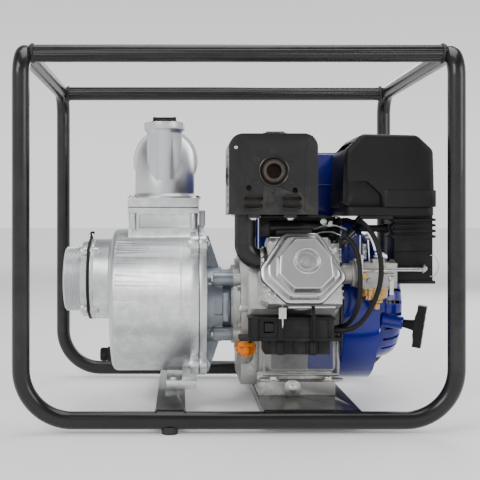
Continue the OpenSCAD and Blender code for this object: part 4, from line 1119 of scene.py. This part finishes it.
def makeCleanerCover():
    look = cleanerLook
    (x0, x1), (y0, y1), (z0, z1) = look["x"], look["y"], look["z"]
    # side outline with chamfered, rounded top corners, a slight taper and a lower rim
    side = roundCorners([(x0 + 1, z0), (x0 + 4, 436), (x0 + 30, z1), (x1 - 30, z1 - 2), (x1 - 4.5, 436),
                         (x1 - 2, z0)], 15, 6)
    shell = plate([(x, y0 + 2.2, z) for x, z in side], (0, 1, 0), y1 - y0 - 4.4)
    soften(shell, 9, 4, 50)
    # scoop on the left front corner
    scoop = plate([(x, y0 - 4, z) for x, z in roundCorners([(x0 - 8, 338), (x0 - 8, 385), (x0 + 36, 387),
                                                            (x0 + 60, 366), (x0 + 66, 338)], 12, 4)],
                  (0, 1, 0), 20)
    carve(shell, scoop)
    slotCut = plate([(x0 - 6, y0 + 19, 352), (x0 - 6, y0 + 19, 420), (x0 - 6, y0 + 6, 408), (x0 - 6, y0 + 6,
            352)], (1, 0, 0), 15)
    carve(shell, slotCut)
    hollow = addBlock((x0 + 7, x1 - 8), (y0 + 20, y1 - 6), (z0 - 4, 452))
    soften(hollow, 10, 3)
    carve(shell, hollow)
    soften(shell, 1.0, 2, 36)
    rim = plate([(x, y, z0) for x, y in roundCorners([(x0 + 64, y0 + 0.4), (x1 - 0.2, y0 + 0.4),
                                                      (x1 - 0.2, y1 - 0.4), (x0, y1 - 0.4), (x0, y0 + 40),
                                                      (x0 + 58, y0 + 22)], 9, 4)], (0, 0, 1),
                                                      look["rimTop"] - z0)
    inner = plate([(x, y, z0 - 2) for x, y in roundCorners([(x0 + 66, y0 + 4), (x1 - 4, y0 + 4),
                                                            (x1 - 4, y1 - 4), (x0 + 4, y1 - 4),
                                                            (x0 + 4, y0 + 42),
                                                            (x0 + 62, y0 + 25)], 8, 4)], (0, 0, 1), 40)
    carve(rim, inner)
    soften(rim, 0.9, 2, 40)
    knob = lathe([(0, 8), (4.5, 8), (6, 6.6), (6.6, 3), (9, 1.4), (9.6, -1), (0, -1)], (250, -116, z1 - 9),
                 (0, 0, 1), 32)
    dress(smooth(joined([shell, rim, knob]), 36), "airCleanerCover", "air_cleaner_cover", "black_plastic",
          ("air_cleaner_cover",))


def makeCleanerBase():
    base = nodeCopy("air_cleaner_base", 1.4, 40, 2)
    extras = []
    for z in (299, 308, 317, 326):  # bellows of the intake neck
        rib = addBlock((253, 320.5), (-165, -107), (z - 1.6, z + 1.6))
        extras.append(soften(rib, 1.5, 3))
    foot = soften(addBlock((255, 322), (-163, -109), (222, 227)), 1.2)
    extras.append(foot)
    for z in (246, 272):
        extras.append(soften(addBlock((256.5, 317.5), (-161.6, -159), (z, z + 2)), 0.7))
    extras.append(soften(addBlock((196, 250), (-181, -160), (326, 333)), 2.0))
    dress(smooth(joined([base, *extras]), 34), "airCleanerBase", "machine", "black_plastic",
          ("air_cleaner_base",))
    steel = [addRod((252, -166, 247), (305, -166, 247), 1.6, 12)]
    star = addRod((301, -165, 247), (304.5, -165, 247), 6.6, 10)
    steel += [soften(star, 0.6), lathe([(0, 0), (3.6, 0), (4.2, 1.4), (3.4, 3), (0, 3.4)], (304, -165, 247),
                                       (1, 0, 0), 24)]
    clip = tubeAlong([(313, -161, 268), (320.5, -161, 268), (320.5, -161, 234), (313, -161, 234)], 1.0, 3)
    steel.append(clip)
    dress(smooth(joined(steel), 34), "intakeClip", "machine", "zinc_bolt")


# ---- tank and cap ----
tankLook = {"x": (10, 250), "y": (-40, 190), "top": 440, "filler": (87, 60)}


def makeTank():
    (x0, x1), (y0, y1), z1 = tankLook["x"], tankLook["y"], tankLook["top"]
    tank = nodeCopy("fuel_tank", 0)
    soften(tank, 5, 4, 50)
    seam = plate([(x, y, 384) for x, y in roundCorners([(x0 - 3, y0 - 3), (x1 + 3, y0 - 3), (x1 + 3, y1 + 3),
                                                        (x0 - 3, y1 + 3)], 33, 8)], (0, 0, 1), 3)
    soften(seam, 0.8)
    hole = plate([(x, y, 380) for x, y in roundCorners([(x0 + 2, y0 + 2), (x1 - 2, y0 + 2), (x1 - 2, y1 - 2),
                                                        (x0 + 2, y1 - 2)], 28, 8)], (0, 0, 1), 12)
    carve(seam, hole)
    crown = plate([(x, y, z1 - 1) for x, y in roundCorners([(x0 + 22, y0 + 20), (x1 - 22, y0 + 20),
                                                            (x1 - 22, y1 - 20), (x0 + 22, y1 - 20)], 26, 6)],
                                                            (0, 0, 1), 2)
    pick(crown, faceTowards((0, 0, 1)))
    bpy.ops.mesh.inset(thickness=5 * mm, depth=3.4 * mm)
    putAway()
    fillX, fillY = tankLook["filler"]
    mouth = addRod((fillX, fillY, z1 - 6), (fillX, fillY, z1 + 12), 26.8, 48)
    carve(crown, mouth)
    dress(smooth(joined([tank, seam, crown]), 40), "fuelTank", "machine", "blue_paint", ("fuel_tank",))
    ring = lathe([(27.2, 0), (29.5, 0), (29.5, 3), (28.6, 3.8), (27.2, 3.8), (27.2, 0)], (fillX, fillY,
            z1 + 7), (0, 0, 1), 56)
    dress(smooth(ring, 34), "fillerRing", "machine", "zinc_bolt")


def makeCap():
    x, y = tankLook["filler"]
    cap = lathe([(0, 48), (12, 48), (13, 46.6), (23.5, 46.6), (27.6, 44.6), (29.4, 40.4), (29.6, 30),
                 (29.8, 13.4), (28.6, 11.8), (21, 11.8), (21, 0.5), (0, 0.5)],
                (x, y, tankLook["top"]), (0, 0, 1), 64)
    ribs = []
    for k in range(20):
        rib = addBlock((x - 1.5, x + 1.5), (y + 28.4, y + 30.2), (454, 480))
        soften(rib, 0.8, 2)
        rib.data.transform(turned(k * 18, "Z", (x, y, 0)))
        ribs.append(rib)
    bars = [soften(addBlock((x - 17, x + 17), (y - 3 + off, y + 3 + off), (486.4, 489.4)),
                   1.2) for off in (-7, 7)]
    dress(smooth(joined([cap, *ribs, *bars]), 36), "tankCap", "tank_cap", "black_plastic", ("tank_cap",))


makeCleanerCover()
makeCleanerBase()
makeTank()
makeCap()
print("air cleaner and tank are moulded")

# ---- fan housing, recoil starter and its handle ----
blowerLook = {"axisZ": 175, "radius": 130, "x": (181, 240), "recoilX": (240, 292),
              "louvres": 26, "plain": (150, 215), "slots": 16}


def makeBlower():
    look = blowerLook
    z = look["axisZ"]
    shell = nodeCopy("blower_housing", 0)
    soften(shell, 7, 4, 55)
    # the swelled scroll, fuller towards the floor, and the step where the recoil cover seats
    scroll = lathe([(96, 1.2), (101, 1.2), (104, 0.6), (108, -2.6), (116, -5), (122.5, -11), (127.6, -21),
                    (129.6, -34), (129.6, -46), (127.2, -54), (122, -54),
                    (96, -8), (96, 1.2)], (238, 0, z), (1, 0, 0), 110)
    lip = lathe([(124, 0), (129.9, 0), (130, 2), (129.9, 4), (124, 4), (124, 0)], (181.2, 0, z), (1, 0, 0),
                110)
    cheek = plate([(183, y, zz) for y, zz in roundCorners([(-104, 236), (-98, 322), (36, 322), (40, 236)],
                                                          22, 5)], (1, 0, 0), 30)
    soften(cheek, 6, 3, 50)
    inside = plate([(179, y, zz) for y, zz in roundCorners([(-98, 230), (-93, 317), (31, 317), (35, 230)],
                                                           18, 5)], (1, 0, 0), 29)
    carve(cheek, inside)
    dress(smooth(joined([shell, scroll, lip, cheek]), 36), "blowerHousing", "machine", "blue_paint",
          ("blower_housing",))


def makeRecoil():
    look = blowerLook
    z, x0 = look["axisZ"], look["recoilX"][0]
    shell = lathe([(92, 0.3), (95.6, 0.3), (96, 1), (96, 14), (95, 22), (91.6, 34), (86, 43.6), (78, 49),
                   (66, 51.4), (40, 51.8), (38.6, 50.4), (30, 50.2),
                   (28.6, 51.6), (0, 51.9), (0, 49), (28, 49), (38, 48), (64, 48.6), (76, 46.2), (83.6, 41),
                   (88.6, 32.6), (92, 21.6), (93, 14), (93, 1),
                   (92, 0.3)], (x0, 0, z), (1, 0, 0), 96)
    cutters = []
    for k in range(look["louvres"]):  # slanted louvres round the shoulder, but for a plain stretch
        angle = k * 360 / look["louvres"]
        if look["plain"][0] < angle < look["plain"][1]:
            continue
        cutter = addBlock((x0 + 19, x0 + 47), (-2.6, 2.6), (z + 76, z + 104))
        cutter.data.transform(turned(-14, "Y", (x0 + 33, 0, z + 90)))
        cutter.data.transform(turned(angle, "X", (x0, 0, z)))
        cutters.append(cutter)
    for k in range(look["slots"]):  # slots in the end face
        angle = k * 360 / look["slots"]
        cutter = addBlock((x0 + 44, x0 + 56), (-2.4, 2.4), (z + 44, z + 62))
        cutter.data.transform(turned(angle, "X", (x0, 0, z)))
        cutters.append(cutter)
    carve(shell, joined(cutters))
    ears = []
    for angle in boltRings["recoil"][2]:
        ear = addRod((x0 + 0.3, 96, z), (x0 + 6, 96, z), 8.6, 28)
        ear.data.transform(turned(angle, "X", (x0, 0, z)))
        ears.append(soften(ear, 0.8))
    turn = Matrix.Rotation(math.radians(handleLook["yaw"]), 3,
                           "Z") @ Matrix.Rotation(math.radians(handleLook["dip"]), 3, "Y")
    pull = turn @ Vector((1, 0, 0))
    guide = lathe([(5, 0), (9.6, 0), (10.6, -1), (11.2, -4), (11.8, -16), (12, -34), (5, -34), (5, 0)],
                  handleLook["at"], pull, 40)
    dress(smooth(joined([shell, guide, *ears]), 34), "recoilCover", "machine", "blue_paint",
          ("recoil_cover",))
    bolts = []
    for y, boltZ in ringPlaces("recoil"):
        bolts.append(fullBolt((x0 + 6, y, boltZ), (1, 0, 0), 5.0, 6))
    bolts.append(crossScrew((x0 + 51.8, 0, z), (1, 0, 0), 6))
    dress(smooth(joined(bolts), 30), "recoilScrews", "machine", "zinc_bolt")


handleLook = {"at": (284, -106, 152), "yaw": -20, "dip": 8.6, "bar": ((18, 34), (-11, 11), (-35, 35)),
              "grooves": (-20, -7, 7, 20)}


def makeHandle():
    look = handleLook
    # T grip: a long bar across the rope, with grooves for the fingers and a collar below
    place = Matrix.Translation(Vector(look["at"]) * mm) @ Matrix.Rotation(math.radians(look["yaw"]), 4, "Z")
    place = place @ Matrix.Rotation(math.radians(look["dip"]), 4, "Y")
    bar = addBlock(*look["bar"])
    takeUp(bar)
    bpy.ops.object.mode_set(mode="EDIT")
    bpy.ops.mesh.select_all(action="SELECT")
    bpy.ops.mesh.subdivide(number_cuts=6)
    putAway()
    pick(bar, lambda vert: abs(vert.co.z) > 24 * mm and vert.co.x < 20 * mm, "VERT")
    bpy.ops.transform.translate(value=(2.2 * mm, 0, 0))
    putAway()
    soften(bar, 3.2, 4, 60)
    grooves = []
    for z in look["grooves"]:
        grooves.append(addRod((35.4, -12, z), (35.4, 12, z), 2.2, 16))
    carve(bar, joined(grooves))
    neck = lathe([(0, -1), (6.4, -1), (6.8, 0), (7.6, 8), (8.6, 14), (10, 18.8), (0, 18.8)], (0, 0, 0),
                 (1, 0, 0), 36)
    piece = joined([bar, neck])
    piece.data.transform(place)
    dress(smooth(piece, 34), "recoilHandle", "recoil_handle", "black_plastic", ("recoil_handle",))


makeBlower()
makeRecoil()
makeHandle()
print("fan housing and recoil starter are fitted")

# ---- crankcase, side cover and base ----


crankcaseLook = {"front": -94.6, "panel": ((60, 172), (70, 130)), "ribs": (52, 176), "bolts": ((66, 157),
        112), "drain": (96, 47),
                 "fins": (190, 206, 222)}


def frontPanel(y, x, z, radius, depth, steps=3):
    # a flat panel with round corners on the front of the engine
    corners = [(x[0], z[0]), (x[1], z[0]), (x[1], z[1]), (x[0], z[1])]
    return plate([(px, y, pz) for px, pz in roundCorners(corners, radius, steps)], (0, -1, 0), depth)


def makeCrankcase():
    look = crankcaseLook
    shell = nodeCopy("crankcase", 2.2, 40, 3)
    extras = []
    # the smooth raised panel on the front and ribs beneath it
    extras.append(soften(frontPanel(look["front"], *look["panel"], 8, 2.2, 4), 0.7))
    for x in look["ribs"]:
        extras.append(soften(addBlock((x - 2.2, x + 2.2), (-99, -92), (62, 134)), 1.2))
    extras.append(soften(addBlock((50, 178), (-101, -92), (63, 67.5)), 1.4))
    for x in (52, 171):
        boss = addRod((x, -112, 57), (x, -112, 61), 11, 28)
        extras.append(soften(boss, 0.9))
    boltXs, boltSide = look["bolts"]
    for x in boltXs:
        for side in (-1, 1):
            extras.append(soften(addRod((x, side * boltSide, 56), (x, side * boltSide, 59.6), 12, 32), 0.7))
    drain = lathe([(0, 0), (14, 0), (14.6, 0.8), (14.6, 4), (14, 5), (0, 5)], (look["drain"][0], -125.6,
            look["drain"][1]), (0, -1, 0), 40)
    extras.append(drain)
    for z in look["fins"]:  # fins on the upper casting beside the cylinder foot
        extras.append(soften(addBlock((150, 179), (-97, -60), (z, z + 3)), 0.9))
    dress(smooth(joined([shell, *extras]), 34), "crankCase", "machine", "engine_casting", ("crankcase",))
    rating = frontPanel(-97.2, (126, 168), (74, 126), 2, 0.5)
    smooth(soften(rating, 0.15, 1))
    dress(rating, "bluePlate", "machine", "blue_paint", paint="glow_plate")
    # a panel of darker casting painted on the crankcase front as the shade that falls under the control box
    shade = frontPanel(-97.1, (64, 125), (74, 126), 3, 0.4)
    smooth(soften(shade, 0.15, 1))
    dress(shade, "darkPanel", "machine", "engine_casting", paint="dark_casting")


def makeSideCover():
    shell = nodeCopy("side_cover", 2.0, 40, 3)
    extras = []
    for y, z in ringPlaces("sideCover"):
        extras.append(soften(addRod((13, y, z), (44.6, y, z), 9, 26), 0.8))
    for angle in range(20, 380, 45):  # webs that spread from the bearing boss
        web = addBlock((9, 16), (58, 88), (173.4, 176.6))
        web.data.transform(turned(angle, "X", (0, 0, 175)))
        extras.append(soften(web, 1.0))
    extras.append(lathe([(92, 0), (96.6, 0), (97.2, 1), (97.2, 5), (96.6, 6), (92, 6), (92, 0)],
                        (44.8, 0, 167), (-1, 0, 0), 96))
    seam = plate([(x, -88.8, z) for x, z in ((43, 60), (45.4, 60), (45.4, 160), (43, 160))], (0, -1, 0), 6)
    extras.append(soften(seam, 0.8))
    dress(smooth(joined([shell, *extras]), 34), "sideCover", "machine", "engine_casting", ("side_cover",))


def makeEngineBolts():
    bolts = []
    for y, z in ringPlaces("sideCover"):
        bolts.append(fullBolt((13, y, z), (-1, 0, 0), 5.4, 30))
    boltXs, boltSide = crankcaseLook["bolts"]
    for y in (-boltSide, boltSide):
        for x in boltXs:
            bolts.append(fullBolt((x, y, 59.8), (0, 0, 1), 7.2, 24))
    drainX, drainZ = crankcaseLook["drain"]
    bolts.append(fullBolt((drainX, -130.4, drainZ), (0, -1, 0), 8.0, 10))
    for x, u in headBolts[:3]:
        bolts.append(fullBolt(onCylinder(x, 189.6, u), outward, 6.6, 20))
    for y, z in ((-176, 186), (-172, 197)):  # the two bright rods below the valve cover
        bolts.append(addRod((83, y, z), (158, y, z), 3.1, 18))
    dress(smooth(joined(bolts), 30), "engineBolts", "machine", "zinc_bolt", ("engine_bolts",))


# ---- control box ----


boxLook = {"straps": (66, 118), "front": -182.5, "ends": (26, 149), "top": 166, "ribs": 5, "ribPitch": 20}


def makeControlBox():
    look = boxLook
    box = nodeCopy("control_box", 1.8, 40, 3)
    extras = []
    extras.append(soften(addBlock((20, 158), (look["front"], -134), (look["top"], look["top"] + 3.5)), 1.2))
    for x in look["ends"]:  # end walls stand a little proud
        extras.append(soften(addBlock((x - 3, x + 3), (-182, -136), (138, 167)), 1.2))
    for x in look["straps"]:  # straps over the box
        extras.append(soften(addBlock((x, x + 9), (-184, -180.4), (132, 170.5)), 0.9))
        extras.append(soften(addBlock((x - 1, x + 10), (-177, -171), (109, 131)), 1.4))
    for k in range(look["ribs"]):
        x = 52 + k * look["ribPitch"]
        extras.append(soften(addBlock((x, x + 3), (-176.5, -173), (112, 131)), 0.8))
    latch = addBlock((24, 34), (-187, -181), (134, 172))
    extras.append(soften(latch, 1.6, 3))
    dress(smooth(joined([box, *extras]), 34), "controlBox", "machine", "black_plastic", ("control_box",))
    hook = [tubeAlong([(73, -178, 190), (73, -184, 186), (73, -186.4, 178), (73, -186, 168),
                       (73, -186.6, 158), (73, -184.6, 154)], 1.5, 4),
            soften(addBlock((67, 79), (-186.4, -184.4), (168, 186)), 0.7)]
    dress(smooth(joined(hook), 34), "strapHook", "machine", "zinc_bolt")
    band = tubeAlong([(122.5, -170, 192), (122.5, -181, 186), (122.5, -185.6, 172), (122.5, -186, 150),
                      (122.5, -184, 134)], 2.6, 4)
    dress(smooth(joined([band, soften(addBlock((117, 128), (-186.5, -183.4), (150, 168)), 1.0)]), 34),
          "rubberStrap", "machine", "black_rubber")


dipstickLook = {"at": (20, -100, 102), "lean": 55, "ribs": 14}


def makeDipstick():
    look = dipstickLook
    stick = nodeCopy("dipstick", 1.2, 36, 3)
    ribs = []
    spot = Matrix.Translation(Vector(look["at"]) * mm) @ Matrix.Rotation(math.radians(look["lean"]), 4, "X")
    for k in range(look["ribs"]):
        rib = addBlock((-1.4, 1.4), (15.4, 17.6), (15.4, 24.4))
        rib.data.transform(Matrix.Rotation(fullTurn * k / look["ribs"], 4, "Z"))
        soften(rib, 0.6)
        ribs.append(rib)
    wing = soften(addBlock((-13, 13), (-3, 3), (24, 30)), 1.6, 3)
    ribs.append(wing)
    for rib in ribs:
        rib.data.transform(spot)
    dress(smooth(joined([stick, *ribs]), 36), "dipstickCap", "dipstick", "orange_plastic", ("dipstick",))


makeCrankcase()
makeSideCover()
makeEngineBolts()
makeControlBox()
makeDipstick()
print("crankcase and control box are fitted")

# ---- carburetor, hoses and linkage ----
carbLook = {"intake": (-156, 238), "bowl": (222, -156)}


def makeCarburetor():
    y, z = carbLook["intake"]
    body = nodeCopy("carburetor", 1.6, 36, 3)
    extras = []
    for x0, x1, r in ((186, 192, 21), (192, 194, 22.5), (251, 256, 23.5)):
        extras.append(soften(addRod((x0, y, z), (x1, y, z), r, 36), 0.8))
    for px, pz, r in ((203, 248, 4.4), (212, 228, 5), (236, 246, 5.4), (246, 232, 4.6)):
        extras.append(soften(addRod((px, -184, pz), (px, -179, pz), r, 22), 0.7))
    extras.append(soften(addBlock((197, 206), (-184, -178), (218, 252)), 1.2))
    extras.append(soften(addBlock((229, 252), (-183.4, -178), (219, 240)), 1.4))
    for x in (199, 243):
        extras.append(soften(addRod((x, -141, 216), (x, -141, 262), 5.4, 24), 0.8))
    dress(smooth(joined([body, *extras]), 34), "carburetorBody", "machine", "carb_zinc", ("carburetor",))
    rods = [addRod((193, -186.5, 245), (236, -186.5, 245), 2.6, 20), addRod((236, -186.5, 245),
            (294, -186.5, 245), 1.5, 16)]
    rods.append(fullBolt((294, -186.5, 245), (1, 0, 0), 4, 6))
    rods += [addRod((203, -150, 258), (203, -150, 300), 1.3, 12), addRod((216, -160, 258), (216, -150, 292),
            1.3, 12)]
    rods += [crossScrew((px, -184.4, pz), (0, -1, 0), 5) for px, pz in ((212, 228), (236, 246), (246, 232))]
    rods.append(soften(addBlock((196, 200), (-190, -183), (238, 270)), 0.8))
    spring = [(204 + 3.6 * math.cos(t * 0.9), -176 + 3.6 * math.sin(t * 0.9),
               262 + t * 0.42) for t in range(60)]
    rods.append(tubeAlong(spring, 0.6, 3))
    dress(smooth(joined(rods), 34), "carburetorRods", "machine", "zinc_bolt")
    screw = lathe([(0, 0), (4.6, 0), (5.0, 0.8), (5.0, 4.4), (4.4, 5.2), (0, 5.2)], (203, -184.2, 236),
                  (0, -1, 0), 24)
    dress(smooth(screw, 30), "brassScrew", "machine", "gold_chromate", paint="brass")


def makeBowl():
    x, y = carbLook["bowl"]
    bowl = lathe([(0, 196.4), (17, 196.4), (21, 198), (23.4, 201.5), (23.8, 205), (23.8, 212.4), (25, 213.2),
                  (25, 215.9), (23, 215.9), (23, 212),
                  (0, 212)], (x, y, 0), (0, 0, 1), 56)
    nut = lathe([(0, 190.2), (8.6, 190.2), (9.8, 191.6), (9.8, 195), (7.4, 197), (0, 197)], (228, y, 0),
                (0, 0, 1), 6)
    drain = lathe([(0, 180.2), (4.4, 180.2), (5.8, 181.4), (5.8, 189), (4.4, 190.6), (0, 190.6)],
                  (228, y, 0), (0, 0, 1), 28)
    screw = soften(addBlock((206, 214), (-179.8, -171), (197, 204)), 0.9)
    dress(smooth(joined([bowl, nut, drain, screw]), 34), "floatBowl", "machine", "gold_chromate",
          ("float_bowl",))


def curve(points, rounds=4):  # rounds a path by cutting its corners
    path = [Vector(point) for point in points]
    for _ in range(rounds):
        cut = [path[0]]
        for a, b in zip(path, path[1:]):
            cut += [a * 0.75 + b * 0.25, a * 0.25 + b * 0.75]
        path = cut + [path[-1]]
    return [tuple(point) for point in path]


hoses = {  # path, radius
    "fuelLine": ([(196, -168, 326), (206, -194, 314), (216, -212, 292), (222, -218, 262), (222, -216, 228),
                  (214, -205, 196),
                  (202, -192, 168), (186, -180, 152), (172, -172, 148), (158, -168, 148)], 4),
    "ventLine": ([(172, -172, 300), (184, -182, 290), (193, -188, 268), (194, -196, 235), (194, -192, 200),
                  (190, -180, 176),
                  (182, -160, 156), (170, -148, 150), (158, -146, 149)], 4),
    "sparkLead": ([(172, -104, 322), (184, -112, 326), (194, -122, 324), (198, -132, 315)], 3.5),
}


def makeHoses():
    parts = []
    for path, radius in hoses.values():
        parts.append(tubeAlong(curve(path, 3), radius, 4))
    for spot, way in (((196, -168, 326), (0.3, -0.8, -0.4)), ((172, -172, 300), (0.6, -0.6, -0.5)),
                      ((158, -168, 148), (1, 0, 0))):
        parts.append(lathe([(4.2, 0), (5.4, 0.3), (5.4, 6), (4.2, 6.4), (4.2, 0)], spot,
                           Vector(way).normalized(), 24))
    dress(smooth(joined(parts), 60), "engineHoses", "machine", "black_rubber", ("engine_hoses",))
    boot = tubeAlong(curve([(163, -118, 300), (168, -114, 310), (172, -108, 320), (180, -108, 324)], 3), 7.5,
                     5)
    dress(smooth(joined([boot, soften(addRod((160, -120, 294), (166, -117, 306), 9.4, 28), 1.2)]), 40),
          "sparkBoot", "machine", "black_rubber")


shroudShadeLook = {"y": -104, "outline": [(44, 296), (172, 296), (172, 330), (150, 334), (44, 334)], "thick": 2}


def makeShroudAndShade():
    look = shroudShadeLook
    # a black sheet-metal shroud over the cylinder, partly a real part and partly painted shade: with the bar
    # and blocks below it, it fills a shaded gap between the parts with dark metal
    sheet = plate([(x, look["y"], z) for x, z in roundCorners(look["outline"], 6, 4)], (0, -1, 0),
                  look["thick"])
    soften(sheet, 0.6, 2)
    extras = [soften(addBlock((44, 172), (-124, -104), (329, 331)), 0.6), soften(addRod((60, -98, 312),
            (150, -98, 312), 15, 40), 2)]
    extras.append(soften(addBlock((70, 130), (-116, -100), (298, 310)), 1.6))
    dress(smooth(joined([sheet, *extras]), 34), "heatShield", "machine", "heat_black")
    bits = [fullBolt((x, -110.5, z), (0, -1, 0), 4.4, 5) for x, z in ((150, 322), (163, 318))]
    bits.append(fullBolt((26, -190, 331), (0, -1, 0), 5, 6))
    bits += [tubeAlong(curve([(128, -118, 300), (150, -122, 306), (168, -130, 304), (186, -140, 290),
                              (202, -150, 268)]), 1.2, 3),
             tubeAlong(curve([(132, -122, 310), (156, -128, 318), (180, -134, 312), (200, -140, 300)]), 1.0,
                       3)]
    bits.append(soften(addBlock((152, 166), (-126, -110), (314, 317)), 0.8))
    dress(smooth(joined(bits), 34), "controlRods", "machine", "zinc_bolt")


breatherLook = {"z": 311, "radius": 5.9, "path": [(206, -108.4), (206, -124), (208, -133), (216, -136),
                                                  (236, -136), (251, -136)]}


def makeBreather():
    look = breatherLook
    tube = tubeAlong(curve([(x, y, look["z"]) for x, y in look["path"]], 3), look["radius"], 5)
    ends = [lathe([(5.9, 0), (7.4, 0.4), (7.4, 7), (5.9, 7.4), (5.9, 0)], (243, -136, look["z"]), (1, 0, 0),
                  32)]
    dress(smooth(joined([tube, *ends]), 50), "breatherTube", "machine", "black_rubber", ("breather_tube",))


makeCarburetor()
makeBowl()
makeHoses()
makeShroudAndShade()
makeBreather()
print("carburetor, hoses and linkage are fitted")

# ---- everything else keeps its CAD shape ----
spoken = {n for piece in scene.objects for n in piece.get("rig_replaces", [])}
for node in sorted(set(frame["nodes"]) - spoken):
    name, radius = plainKeeps.get(node, (node.title().replace("_", ""), 0.6))
    keepNode(node, name[0].lower() + name[1:], radius)
print("the rest keep their own shape")
